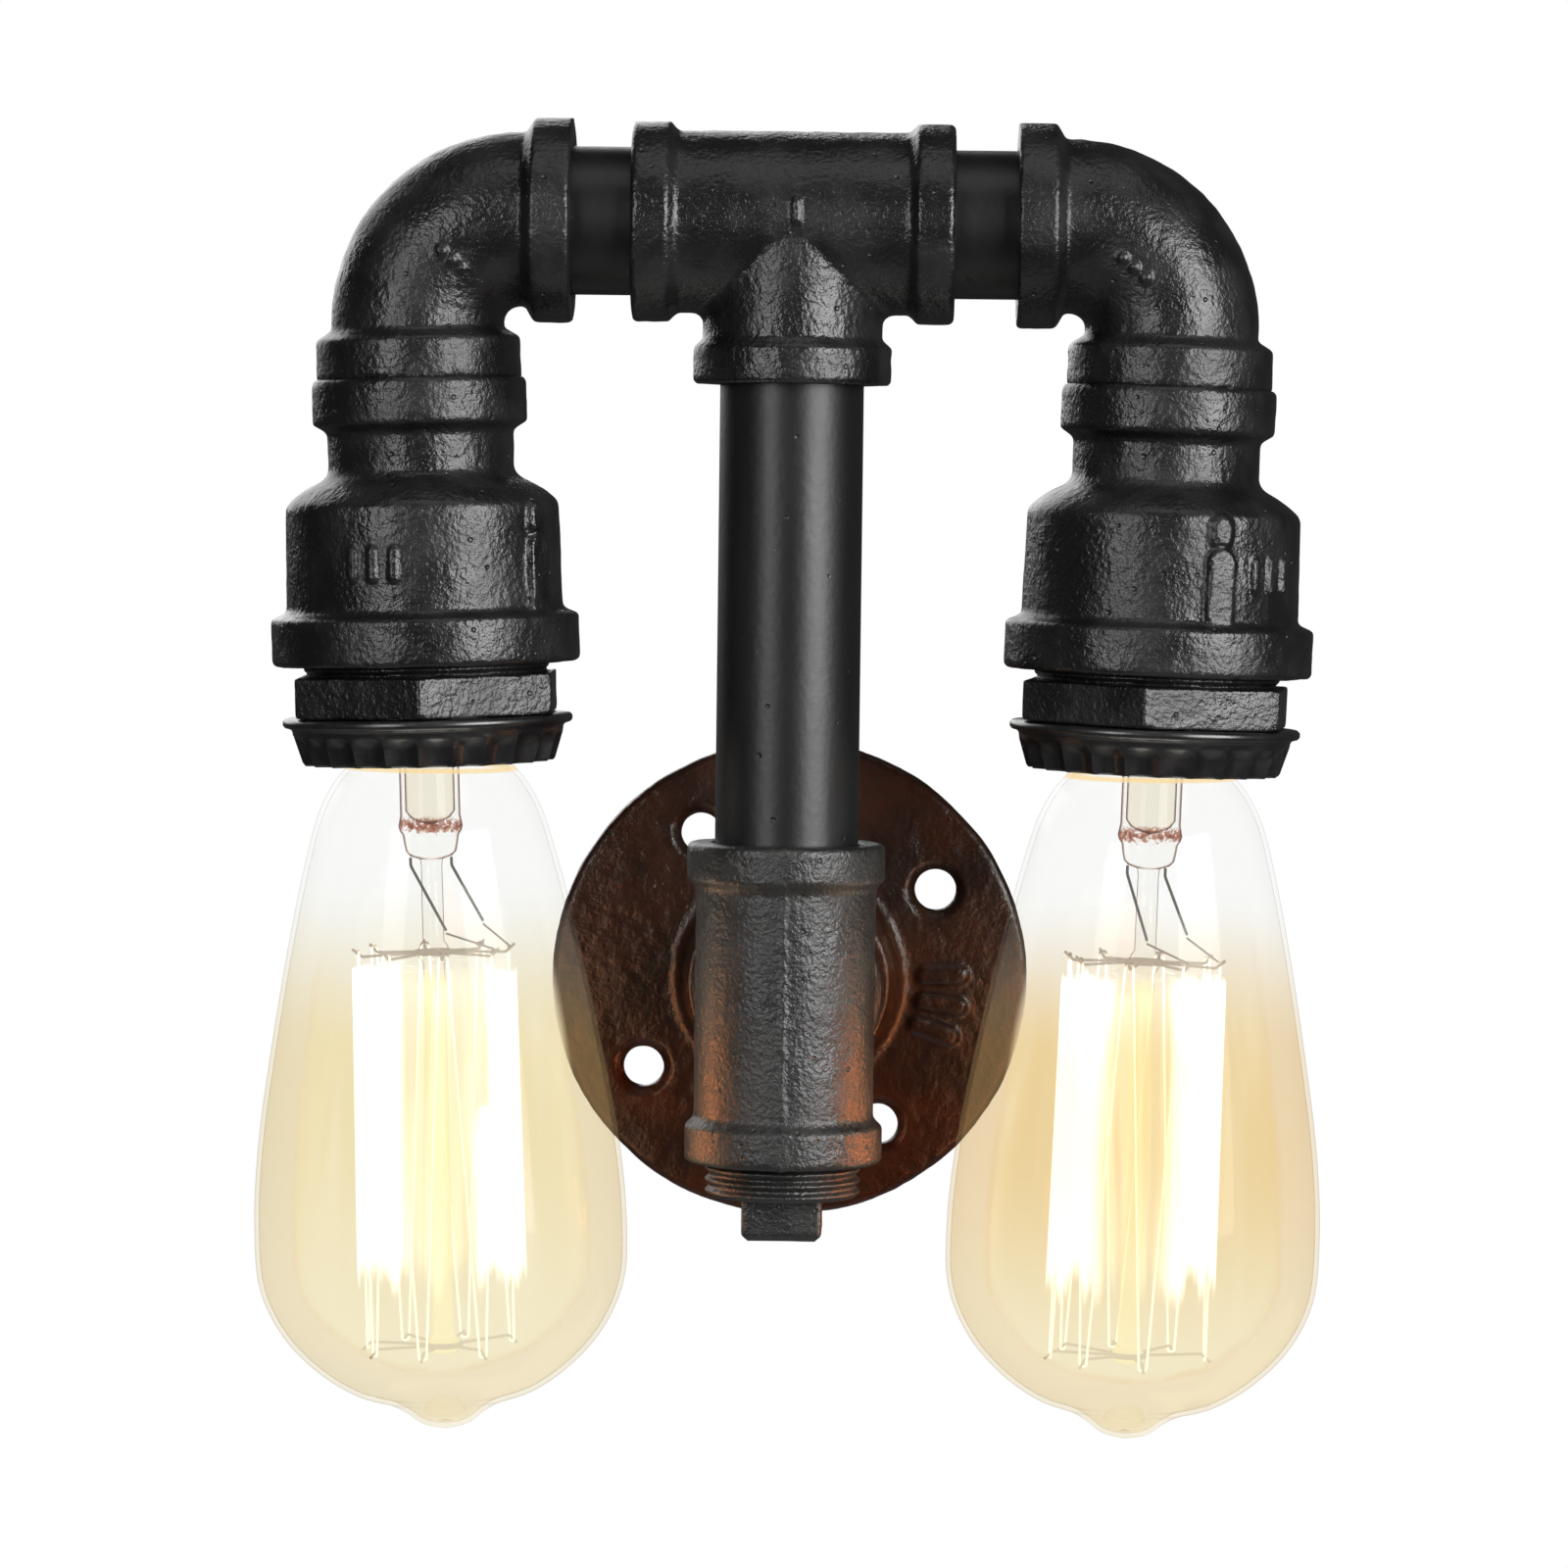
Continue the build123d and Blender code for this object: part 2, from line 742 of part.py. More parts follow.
# ---- shade rings ------------------------------------------------------------------------
ring_top = bush_bottom + face_gap
ring_bore_r = holder_skirt_d / 2 + thread_fit
flute_run = ring_bottom - ring_top - ring_flange_t
flute_slope = math.degrees(math.atan2((ring_top_d - ring_bottom_d) / 2, flute_run))
flute_r_at = (ring_top_d + ring_bottom_d) / 4 + flute_r - flute_depth
with BuildPart() as flute:
    with Locations(Location((flute_r_at, 0, -(ring_bottom + 1.0)), (0, flute_slope, 0))):
        Cylinder(
            flute_r,
            flute_run + 1.0,
            align=(Align.CENTER, Align.CENTER, Align.MIN),
        )
for side in sides:
    with BuildPart() as ring:
        with BuildSketch(Plane.XZ):
            with BuildLine():
                Polyline(
                    (ring_bore_r, -ring_top),
                    (ring_flange_d / 2 - 0.4, -ring_top),
                    (ring_flange_d / 2, -ring_top - 0.4),
                    (ring_flange_d / 2, -ring_top - ring_flange_t + 0.3),
                    (ring_flange_d / 2 - 0.3, -ring_top - ring_flange_t),
                    (ring_top_d / 2, -ring_top - ring_flange_t),
                    (ring_bottom_d / 2 + 0.1, -ring_bottom + 0.6),
                    (ring_bottom_d / 2 - 0.5, -ring_bottom),
                    (ring_bore_r + 0.6, -ring_bottom),
                    (ring_bore_r, -ring_bottom + 0.6),
                    close=True,
                )
            make_face()
        revolve(axis=Axis.Z)
        with PolarLocations(0, flute_count):
            add(flute.part, mode=Mode.SUBTRACT)
    keep(ring, f"{side}_shade_ring", arm_at[side])

# ---- bulbs ------------------------------------------------------------------------------
bulb_at = {}
for side in sides:
    bulb_at[side] = arm_at[side] * Location((0, 0, 0), (0, 0, bulb_turn[side]))


def inner_points(points, wall):
    """The same curve moved inwards by the wall, from (distance, radius) points."""
    moved = []
    for i, (d, r) in enumerate(points):
        before = points[max(0, i - 1)]
        after = points[min(len(points) - 1, i + 1)]
        step = math.hypot(after[0] - before[0], after[1] - before[1])
        moved.append(
            (d - wall * -(after[1] - before[1]) / step, r - wall * (after[0] - before[0]) / step)
        )
    return moved


def run_lengths(points):
    """Distance along a chain of points up to each of them."""
    total = 0.0
    lengths = [total]
    for before, after in zip(points[:-1], points[1:]):
        total += math.hypot(after[0] - before[0], after[1] - before[1])
        lengths.append(total)
    return lengths


def smooth(points, first, last):
    """Add a spline through the points, with the directions of its two ends."""
    path = [Vector(*point) for point in points]
    ends = [Vector(*first), Vector(*last)]
    add(Edge.make_spline(path, tangents=ends, parameters=run_lengths(points), scale=False))


def glass():
    """The glass envelope, open at the neck where the stem is sealed in."""
    outer = [(r, -d) for d, r in glass_profile]
    inner = [(r, -d) for d, r in inner_points(glass_profile, glass_wall)]
    neck_in = (glass_neck_r - glass_wall, -glass_neck_top)
    slope = (-0.95, -0.31)
    back = (0.95, 0.31)
    tip = [
        outer[-1],
        (tip_radius_in, outer[-1][1] - 0.8),
        (tip_radius_in - 2.0, -glass_tip + 2.9),
        (tip_radius_in - 4.4, -glass_tip + 1.1),
        (0, -glass_tip),
    ]
    tip_in = [
        (0, -glass_tip + 2.2 * glass_wall),
        (tip_radius_in - 4.6, -glass_tip + 3.2),
        inner[-1],
    ]
    with BuildPart() as piece:
        with BuildSketch(Plane.XZ):
            with BuildLine():
                Line(neck_in, (glass_neck_r, -glass_neck_top))
                Line((glass_neck_r, -glass_neck_top), outer[0])
                smooth(outer, (0.1, -0.99), slope)
                smooth(tip, slope, (-1, 0))
                Line(tip[-1], tip_in[0])
                smooth(tip_in, (1, 0), back)
                smooth(list(reversed(inner)), back, (-0.1, 0.99))
                Line(inner[0], neck_in)
            make_face()
        revolve(axis=Axis.Z)
    return piece


cap_root_r = cap_root_d / 2
cap_crest_r = cap_crest_d / 2
cap = turned(
    [
        (cap_root_r - 1.6, -cap_top),
        *threaded(cap_root_r, cap_crest_r, cap_pitch, -cap_top - 0.8, -cap_bottom + 2.4),
        (cap_crest_r, -cap_bottom + 1.4),
        (cap_crest_r, -cap_bottom),
        (cap_crest_r - cap_wall, -cap_bottom),
        (cap_crest_r - cap_wall, -cap_bottom + 1.2),
        (cap_root_r - cap_wall, -cap_bottom + 2.2),
        (cap_root_r - cap_wall, -cap_top - 1.1),
        (cap_root_r - 1.8, -cap_top - cap_wall),
        (cap_hole_d / 2, -cap_top - cap_wall),
        (cap_hole_d / 2, -cap_top),
    ]
)
cap_insulator = turned(
    [
        (cap_contact_d / 2 + 0.05, -cap_insulator_top),
        (cap_contact_d / 2 + 1.0, -cap_insulator_top),
        (cap_hole_d / 2 - 0.1, -cap_top + 0.3),
        (cap_hole_d / 2 - 0.1, -cap_top - 1.6),
        (1.0, -cap_top - 1.6),
        (1.0, -cap_insulator_top - 0.45),
        (cap_contact_d / 2 + 0.05, -cap_insulator_top - 0.45),
    ]
)
cap_contact = turned(
    [
        (0, -cap_contact_top),
        (cap_contact_d / 2 - 1.4, -cap_contact_top),
        (cap_contact_d / 2, -cap_insulator_top - 0.1),
        (cap_contact_d / 2, -cap_insulator_top - 0.4),
        (0.95, -cap_insulator_top - 0.4),
        (0.95, -cap_top - 1.4),
        (0, -cap_top - 1.4),
    ]
)

stem_r = stem_tube_d / 2
rod_r = rod_d / 2
bead_r = bead_d / 2
stem = turned(
    [
        (stem_flare_d / 2, -stem_top),
        (stem_flare_d / 2, -stem_top - stem_wall),
        (stem_r + 1.0, -stem_top - 4.0),
        (stem_r, -stem_top - stem_flare_h),
        (stem_r, -stem_press_top),
        (stem_r + 0.4, -stem_press_top - 0.7),
        (stem_r + 0.4, -stem_press_top - 1.5),
        (stem_r - 0.3, -stem_press_top - 2.4),
        (stem_r - 0.6, -stem_bottom + 0.6),
        (stem_r - 1.2, -stem_bottom),
        (rod_r, -stem_bottom),
        (rod_r, -upper_bead + bead_half),
        (bead_r, -upper_bead + bead_half - 0.6),
        (bead_r, -upper_bead - bead_half + 0.6),
        (rod_r, -upper_bead - bead_half),
        (rod_r, -lower_bead + bead_half),
        (bead_r, -lower_bead + bead_half - 0.6),
        (bead_r, -lower_bead - bead_half + 0.6),
        (rod_r, -lower_bead - bead_half),
        (0, -lower_bead - bead_half),
        (0, -stem_press_top - 1.0),
        (stem_r - stem_wall, -stem_press_top + 0.6),
        (stem_r - stem_wall, -stem_top - stem_flare_h + 0.4),
        (stem_r + 0.3, -stem_top - 3.4),
        (stem_r + 2.6, -stem_top),
    ]
)


def cage_angle(i):
    """Angle of the filament's corner number i, in degrees."""
    return 360.0 * (i + 0.5) / filament_spans


def hooks(bead, reach, droop, first):
    """A collar round a bead with a wire standing out to every second filament corner."""
    collar_r = bead_r + 0.55
    with BuildPart() as wire:
        with BuildLine() as run:
            FilletPolyline(
                (collar_r - 0.35, 0, -bead),
                (reach - 1.6, 0, -bead - droop * 0.4),
                (reach, 0, -bead + droop),
                radius=0.8,
            )
        with BuildSketch(Plane(origin=run.line @ 0, z_dir=run.line % 0)):
            Circle(hook_wire_d / 2)
        sweep(path=run.line)
    with BuildPart() as piece:
        with BuildSketch(Plane.XY.offset(-bead - collar_t / 2)):
            Circle(collar_r)
            Circle(bead_r + 0.02, mode=Mode.SUBTRACT)
        extrude(amount=collar_t)
        for i in range(first, filament_spans - 1, 2):
            with Locations(Location((0, 0, 0), (0, 0, cage_angle(i)))):
                add(wire.part)
    return piece


def lead_wires():
    """The two wires that leave the stem for the ends of the filament."""
    with BuildPart() as piece:
        for start, end in (
            ((-3.5, -1.0, -stem_bottom - 0.15), lead_end_b),
            ((3.5, -1.0, -stem_bottom - 0.15), lead_end_a),
        ):
            with BuildLine() as run:
                FilletPolyline(
                    start,
                    (start[0], start[1], start[2] - 1.4),
                    end,
                    radius=1.2,
                )
            with BuildSketch(Plane(origin=run.line @ 0, z_dir=run.line % 0)):
                Circle(lead_wire_d / 2)
            sweep(path=run.line)
    return piece


def filament():
    """The cage of straight spans, zigzagging between the hooks from one lead to the other."""
    fil_r = filament_d / 2
    clear = hook_wire_d / 2 + fil_r + 0.25
    below = Vector(0, 0, -(lead_wire_d / 2 + fil_r + 0.1))
    corners = [Vector(*lead_end_a) + below]
    for i in range(filament_spans - 1):
        angle = math.radians(cage_angle(i))
        low = i % 2 == 1
        reach = (hook_reach_lower if low else hook_reach_upper) - 1.0
        z = -lower_bead - clear if low else -upper_bead + clear
        over = Vector(reach * math.cos(angle), reach * math.sin(angle), z)
        across = Vector(-math.sin(angle), math.cos(angle), 0) * filament_loop / 2
        corners += [over - across, over + across]
    corners.append(Vector(*lead_end_b) + below)
    with BuildPart() as piece:
        with BuildLine() as run:
            FilletPolyline(*corners, radius=filament_bend)
        with BuildSketch(Plane(origin=run.line @ 0, z_dir=run.line % 0)):
            Circle(fil_r)
        sweep(path=run.line)
    return piece


envelope = glass()
upper_hooks = hooks(upper_bead, hook_reach_upper, 1.0, 0)
lower_hooks = hooks(lower_bead, hook_reach_lower, -1.0, 1)
leads_in = lead_wires()
cage = filament()
for side in sides:
    keep(envelope, f"{side}_bulb_glass", bulb_at[side])
    keep(cap, f"{side}_bulb_cap", bulb_at[side])
    keep(cap_insulator, f"{side}_cap_insulator", bulb_at[side])
    keep(cap_contact, f"{side}_cap_contact", bulb_at[side])
    keep(stem, f"{side}_bulb_stem", bulb_at[side])
    keep(upper_hooks, f"{side}_upper_hooks", bulb_at[side])
    keep(lower_hooks, f"{side}_lower_hooks", bulb_at[side])
    keep(leads_in, f"{side}_lead_wires", bulb_at[side])
    keep(cage, f"{side}_filament", bulb_at[side])


# ---- cables -----------------------------------------------------------------------------
def strand(diameter, radius, *corners):
    """A round cable through corners, each turned with an arc of the given radius."""
    with BuildPart() as piece:
        with BuildLine() as run:
            if len(corners) > 2:
                FilletPolyline(*corners, radius=radius)
            else:
                Line(*corners)
        with BuildSketch(Plane(origin=run.line @ 0, z_dir=run.line % 0)):
            Circle(diameter / 2)
        sweep(path=run.line)
    return piece


for side, sign in sides.items():
    x = sign * cable_x
    feed = strand(
        cable_d,
        [cable_bend_low, cable_bend_high],
        (x, -cable_wall_end, 0),
        (x, pipe_y, 0),
        (x, pipe_y, run_z),
        (sign * cable_split_x, pipe_y, run_z),
    )
    keep(feed, f"{side}_feed_cable")
    with BuildPart() as feed_cores:
        with Locations(
            Location((x - core_x, -core_wall_end, 0), (90, 0, 0)),
            Location((x + core_x, -core_wall_end, 0), (90, 0, 0)),
        ):
            Cylinder(
                core_d / 2,
                cable_wall_end - core_wall_end - 0.05,
                align=(Align.CENTER, Align.CENTER, Align.MIN),
            )
    keep(feed_cores, f"{side}_feed_cores")
    arm_feed = strand(
        cable_d,
        cable_bend_elbow,
        (elbow_x[side] - cable_split_x - cable_split_gap, 0, 0),
        (0, 0, 0),
        along_arm(side, cable_holder_end),
    )
    keep(arm_feed, f"{side}_arm_cable", base_at[side])
    core_end_z = terminal_z + 1.2
    core_y = terminal_l / 4
    cores = []
    for start_x, end_x in ((core_x, rivet_x), (-core_x, centre_terminal_x)):
        cores.append(
            strand(
                core_d,
                core_bend,
                (start_x, 0, -cable_holder_end - 0.05),
                (start_x, 0, -cable_holder_end - 2.2),
                (end_x, core_y, core_end_z + terminal_h),
                (end_x, core_y, core_end_z),
            )
        )
    with BuildPart() as arm_cores:
        for core in cores:
            add(core.part)
    keep(arm_cores, f"{side}_arm_cores", arm_at[side])
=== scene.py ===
"""Looks of the industrial pipe wall light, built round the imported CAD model.

Metres, in the frame of the CAD: the origin is the centre of the wall flange's back face,
+X runs right along the top run, -Y comes forward and +Z goes up the riser. Sizes of turned
and cast pieces are written in millimetres, down the arm from the top run's axis.
"""

import json
import logging
import math
from dataclasses import dataclass
from enum import Enum
from typing import Any, Callable, Sequence

import bmesh
import bpy
import numpy as np
from mathutils import Matrix, Vector

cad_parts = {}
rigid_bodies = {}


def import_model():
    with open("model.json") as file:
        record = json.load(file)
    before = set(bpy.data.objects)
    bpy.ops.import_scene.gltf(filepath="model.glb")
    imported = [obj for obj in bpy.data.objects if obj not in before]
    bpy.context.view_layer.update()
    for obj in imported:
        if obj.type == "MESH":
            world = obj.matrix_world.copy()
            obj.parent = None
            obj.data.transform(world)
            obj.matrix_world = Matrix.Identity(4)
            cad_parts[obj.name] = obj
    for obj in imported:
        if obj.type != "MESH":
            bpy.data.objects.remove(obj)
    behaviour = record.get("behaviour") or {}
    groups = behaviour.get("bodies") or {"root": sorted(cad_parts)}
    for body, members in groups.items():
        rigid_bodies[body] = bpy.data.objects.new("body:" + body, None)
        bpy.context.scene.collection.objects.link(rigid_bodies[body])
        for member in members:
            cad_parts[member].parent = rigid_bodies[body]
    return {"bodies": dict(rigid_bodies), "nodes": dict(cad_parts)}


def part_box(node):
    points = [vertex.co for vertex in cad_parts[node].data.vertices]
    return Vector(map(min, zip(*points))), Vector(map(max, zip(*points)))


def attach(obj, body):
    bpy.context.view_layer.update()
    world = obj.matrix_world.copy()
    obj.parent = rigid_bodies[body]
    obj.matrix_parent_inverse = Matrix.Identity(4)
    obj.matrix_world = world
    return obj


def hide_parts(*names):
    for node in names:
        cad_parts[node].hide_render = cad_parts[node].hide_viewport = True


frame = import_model()

log = logging.getLogger("pipe_wall_light")

MM = 0.001
PIPE_Y = -52.0 * MM  # plane of the pipes' centre lines
RUN_Z = 133.0 * MM  # axis of the top run
CLEAR_LAYERS = 7  # clear surfaces that a look passes before glass shows its plain colour

Point = tuple[float, float]
Span = tuple[float, float]
Colour = tuple[float, float, float]
Nodes = dict[str, bpy.types.Object]


class Side(Enum):
    """The two arms, seen from the front."""

    LEFT = "left"
    RIGHT = "right"

    @property
    def sign(self) -> int:
        """-1 on the left and +1 on the right."""
        return -1 if self is Side.LEFT else 1

    @property
    def elbow_x(self) -> float:
        """Distance of the arm from the riser, in metres."""
        return (64.6 if self is Side.LEFT else 65.0) * MM

    @property
    def lean(self) -> float:
        """How far the arm leans inwards, in radians."""
        return math.radians(2.0 if self is Side.LEFT else 1.6)

    @property
    def bulb_turn(self) -> float:
        """How far the bulb is screwed round, in radians."""
        return math.radians(0.0 if self is Side.LEFT else 155.0)

    def arm_matrix(self) -> Matrix:
        """The arm's own frame: +X towards the top tee, -Z down the arm.

        Returns:
            The matrix from the arm's frame to the shared one.
        """
        place = Matrix.Translation((self.sign * self.elbow_x, PIPE_Y, RUN_Z))
        turn = Matrix.Rotation(0.0 if self is Side.LEFT else math.pi, 4, "Z")
        return place @ turn @ Matrix.Rotation(-self.lean, 4, "Y")

    def bulb_matrix(self) -> Matrix:
        """The bulb's frame, the arm's frame turned about its axis."""
        return self.arm_matrix() @ Matrix.Rotation(self.bulb_turn, 4, "Z")


class PipeRun(Enum):
    """The direction in which a pipe runs, as the number of its axis."""

    ACROSS = 0
    FORWARD = 1
    UPRIGHT = 2

    def matrix(self) -> Matrix:
        """Turn the lathe's upright axis onto the pipe's.

        Returns:
            The turn.
        """
        if self is PipeRun.ACROSS:
            return Matrix.Rotation(math.pi / 2, 4, "Y")
        if self is PipeRun.FORWARD:
            return Matrix.Rotation(-math.pi / 2, 4, "X")
        return Matrix.Identity(4)


# ---- shader graph -------------------------------------------------------------------------


class Value:
    """A number socket that takes part in Python expressions by adding Math nodes."""

    def __init__(self, graph: "Graph", socket: Any) -> None:
        """Keep the graph and the output socket.

        Args:
            graph: the graph that new nodes go into.
            socket: the output socket that carries the number.
        """
        self.graph = graph
        self.socket = socket

    def _math(self, operation: str, a: Any, b: Any) -> "Value":
        """Add one Math node.

        Args:
            operation: the node's operation.
            a: first operand, a Value or a number.
            b: second operand, a Value or a number.

        Returns:
            The node's output.
        """
        node = self.graph.node("ShaderNodeMath", {"operation": operation}, {0: a, 1: b})
        return Value(self.graph, node.outputs[0])

    def __add__(self, other: Any) -> "Value":
        """Sum."""
        return self._math("ADD", self, other)

    def __radd__(self, other: Any) -> "Value":
        """Sum with a number on the left."""
        return self._math("ADD", other, self)

    def __sub__(self, other: Any) -> "Value":
        """Difference."""
        return self._math("SUBTRACT", self, other)

    def __rsub__(self, other: Any) -> "Value":
        """Difference with a number on the left."""
        return self._math("SUBTRACT", other, self)

    def __mul__(self, other: Any) -> "Value":
        """Product."""
        return self._math("MULTIPLY", self, other)

    def __rmul__(self, other: Any) -> "Value":
        """Product with a number on the left."""
        return self._math("MULTIPLY", other, self)

    def at_least(self, other: Any) -> "Value":
        """The larger of the two."""
        return self._math("MAXIMUM", self, other)


class Graph:
    """The node tree of one material, or of the world."""

    def __init__(self, owner: Any, output: str = "ShaderNodeOutputMaterial") -> None:
        """Start with an empty tree.

        Args:
            owner: the new material or world.
            output: type name of its output node.
        """
        owner.use_nodes = True
        self.owner = owner
        self.tree = owner.node_tree
        self.tree.nodes.clear()
        self.output = self.node(output)

    def node(
        self,
        kind: str,
        settings: dict[str, Any] | None = None,
        inputs: dict[Any, Any] | None = None,
    ) -> Any:
        """Add a node, set it up and feed its sockets.

        Args:
            kind: the node's type name.
            settings: attributes to set first.
            inputs: socket name or number to a value, a Value or an output socket.

        Returns:
            The new node.
        """
        node = self.tree.nodes.new(kind)
        for key, setting in (settings or {}).items():
            setattr(node, key, setting)
        for key, source in (inputs or {}).items():
            socket = node.inputs[key]
            if isinstance(source, Value):
                source = source.socket
            if isinstance(source, bpy.types.NodeSocket):
                self.tree.links.new(source, socket)
            elif isinstance(source, tuple) and socket.type == "RGBA":
                socket.default_value = (*source, 1.0)
            else:
                socket.default_value = source
        return node

    def where(self) -> Any:
        """Object coordinates, in metres, which follow a piece as it moves."""
        return self.node("ShaderNodeTexCoord").outputs["Object"]

    def along(self, axis: str) -> Value:
        """One of the object coordinates.

        Args:
            axis: X, Y or Z.

        Returns:
            The place along that axis, in metres.
        """
        parts = self.node("ShaderNodeSeparateXYZ", None, {0: self.where()})
        return Value(self, parts.outputs[axis])

    def facing(self) -> Value:
        """How far a surface turns away from the look, 0 where it faces it.

        Returns:
            A number from 0 to 1.
        """
        weight = self.node("ShaderNodeLayerWeight", None, {"Blend": 0.5})
        return Value(self, weight.outputs["Facing"])

    def looked_at(self) -> Value:
        """1 for a look from the camera, also through glass, and 0 for other rays.

        Returns:
            The number 0 or 1.
        """
        path = self.node("ShaderNodeLightPath")
        camera = Value(self, path.outputs["Is Camera Ray"])
        return camera.at_least(Value(self, path.outputs["Is Transmission Ray"]))

    def grain(
        self,
        size_mm: float,
        detail: float = 2.0,
        rough: float = 0.5,
        stretch: Sequence[float] = (1.0, 1.0, 1.0),
        offset: Sequence[float] = (0.0, 0.0, 0.0),
    ) -> Value:
        """Smooth noise with features of the given size.

        Args:
            size_mm: size of the largest features.
            detail: octaves of finer noise.
            rough: strength of the finer octaves.
            stretch: scale of each axis.
            offset: shift of the pattern, in metres.

        Returns:
            Noise from 0 to 1.
        """
        inputs = {"Vector": self.where(), "Scale": tuple(stretch), "Location": tuple(offset)}
        placed = self.node("ShaderNodeMapping", {"vector_type": "POINT"}, inputs).outputs[0]
        inputs = {"Vector": placed, "Scale": 1000.0 / size_mm, "Detail": detail}
        inputs["Roughness"] = rough
        made = self.node("ShaderNodeTexNoise", {"noise_dimensions": "3D"}, inputs)
        return Value(self, made.outputs[0])

    def dots(self, gap_mm: float, core: float, edge: float) -> Value:
        """Scattered round dots, for pin holes and specks.

        Args:
            gap_mm: usual distance between the dots.
            core: radius of a dot's full middle, as a share of the gap.
            edge: radius where the dot ends, as a share of the gap.

        Returns:
            1 in a dot and 0 between them.
        """
        settings = {"feature": "F1", "voronoi_dimensions": "3D"}
        inputs = {"Vector": self.where(), "Scale": 1000.0 / gap_mm}
        made = self.node("ShaderNodeTexVoronoi", settings, inputs)
        return 1.0 - self.band(Value(self, made.outputs["Distance"]), core, edge)

    def band(self, source: Value, low: float, high: float) -> Value:
        """Map a range to 0..1 smoothly and clamp it.

        Args:
            source: the number.
            low: becomes 0.
            high: becomes 1.

        Returns:
            The clamped number.
        """
        made = self.node(
            "ShaderNodeMapRange",
            {"clamp": True, "interpolation_type": "SMOOTHSTEP"},
            {"Value": source, "From Min": low, "From Max": high},
        )
        return Value(self, made.outputs[0])

    def blend(self, amount: Any, first: Any, second: Any) -> Any:
        """Mix two colours.

        Args:
            amount: 0 gives the first and 1 the second.
            first: a colour or an output socket.
            second: a colour or an output socket.

        Returns:
            The mixed colour's socket.
        """
        inputs = {"Factor": amount, 6: first, 7: second}  # 6 and 7 are the colours A and B
        return self.node("ShaderNodeMix", {"data_type": "RGBA"}, inputs).outputs[2]

    def relief(self, height: Value, depth_mm: float) -> Any:
        """A Bump node.

        Args:
            height: height from 0 to 1.
            depth_mm: height of 1 in millimetres.

        Returns:
            The normal's socket.
        """
        inputs = {"Strength": 1.0, "Distance": depth_mm * MM, "Height": height}
        return self.node("ShaderNodeBump", None, inputs).outputs[0]

    def surface(self, **inputs: Any) -> Any:
        """The principled shader.

        Args:
            inputs: socket names with underscores for spaces.

        Returns:
            The shader's socket.
        """
        named = {key.replace("_", " "): value for key, value in inputs.items()}
        return self.node("ShaderNodeBsdfPrincipled", None, named).outputs[0]

    def clear(self, colour: Any) -> Any:
        """A shader that lets light straight through, tinted by a colour."""
        return self.node("ShaderNodeBsdfTransparent", None, {"Color": colour}).outputs[0]

    def light(self, colour: Any, strength: float = 1.0) -> Any:
        """A shader that gives off light.

        Args:
            colour: a colour or an output socket.
            strength: 1 shows the colour as it is written.

        Returns:
            The shader's socket.
        """
        inputs = {"Color": colour, "Strength": strength}
        return self.node("ShaderNodeEmission", None, inputs).outputs[0]

    def mirror(self, colour: Colour, rough: float, normal: Any = None) -> Any:
        """The gloss on top of glass.

        Args:
            colour: the reflection's colour.
            rough: the gloss's roughness.
            normal: the socket of a Bump node, if the glass is wavy.

        Returns:
            The shader's socket.
        """
        inputs = {"Color": colour, "Roughness": rough}
        if normal is not None:
            inputs["Normal"] = normal
        return self.node("ShaderNodeBsdfGlossy", None, inputs).outputs[0]

    def mix(self, amount: Any, first: Any, second: Any) -> Any:
        """Mix two shaders.

        Args:
            amount: 0 gives the first and 1 the second.
            first: a shader's socket.
            second: a shader's socket.

        Returns:
            The mixed shader's socket.
        """
        inputs = {0: amount, 1: first, 2: second}
        return self.node("ShaderNodeMixShader", None, inputs).outputs[0]

    def clear_past(self, layers: int, shader: Any, colour: Colour) -> Any:
        """Let a glass shine in the backdrop's colour where many clear layers lie before it.

        Args:
            layers: how many clear surfaces a look may pass first.
            shader: the glass's own shader socket.
            colour: the backdrop's colour through this glass.

        Returns:
            The mixed shader's socket.
        """
        passed = Value(self, self.node("ShaderNodeLightPath").outputs["Transparent Depth"])
        deep = self.band(passed, layers - 0.6, layers - 0.4)
        return self.mix(deep, shader, self.light(colour))

    def finish(self, shader: Any) -> Any:
        """Connect the shader to the output.

        Args:
            shader: the shader's socket.

        Returns:
            The finished material or world.
        """
        self.tree.links.new(shader, self.output.inputs["Surface"])
        return self.owner


# ---- finishes -----------------------------------------------------------------------------


@dataclass(frozen=True)
class Finish:
    """A named finish, which its kinds mix from their own fields."""

    name: str

    def graph(self) -> Graph:
        """The empty graph of this finish's material."""
        return Graph(bpy.data.materials.new(self.name))


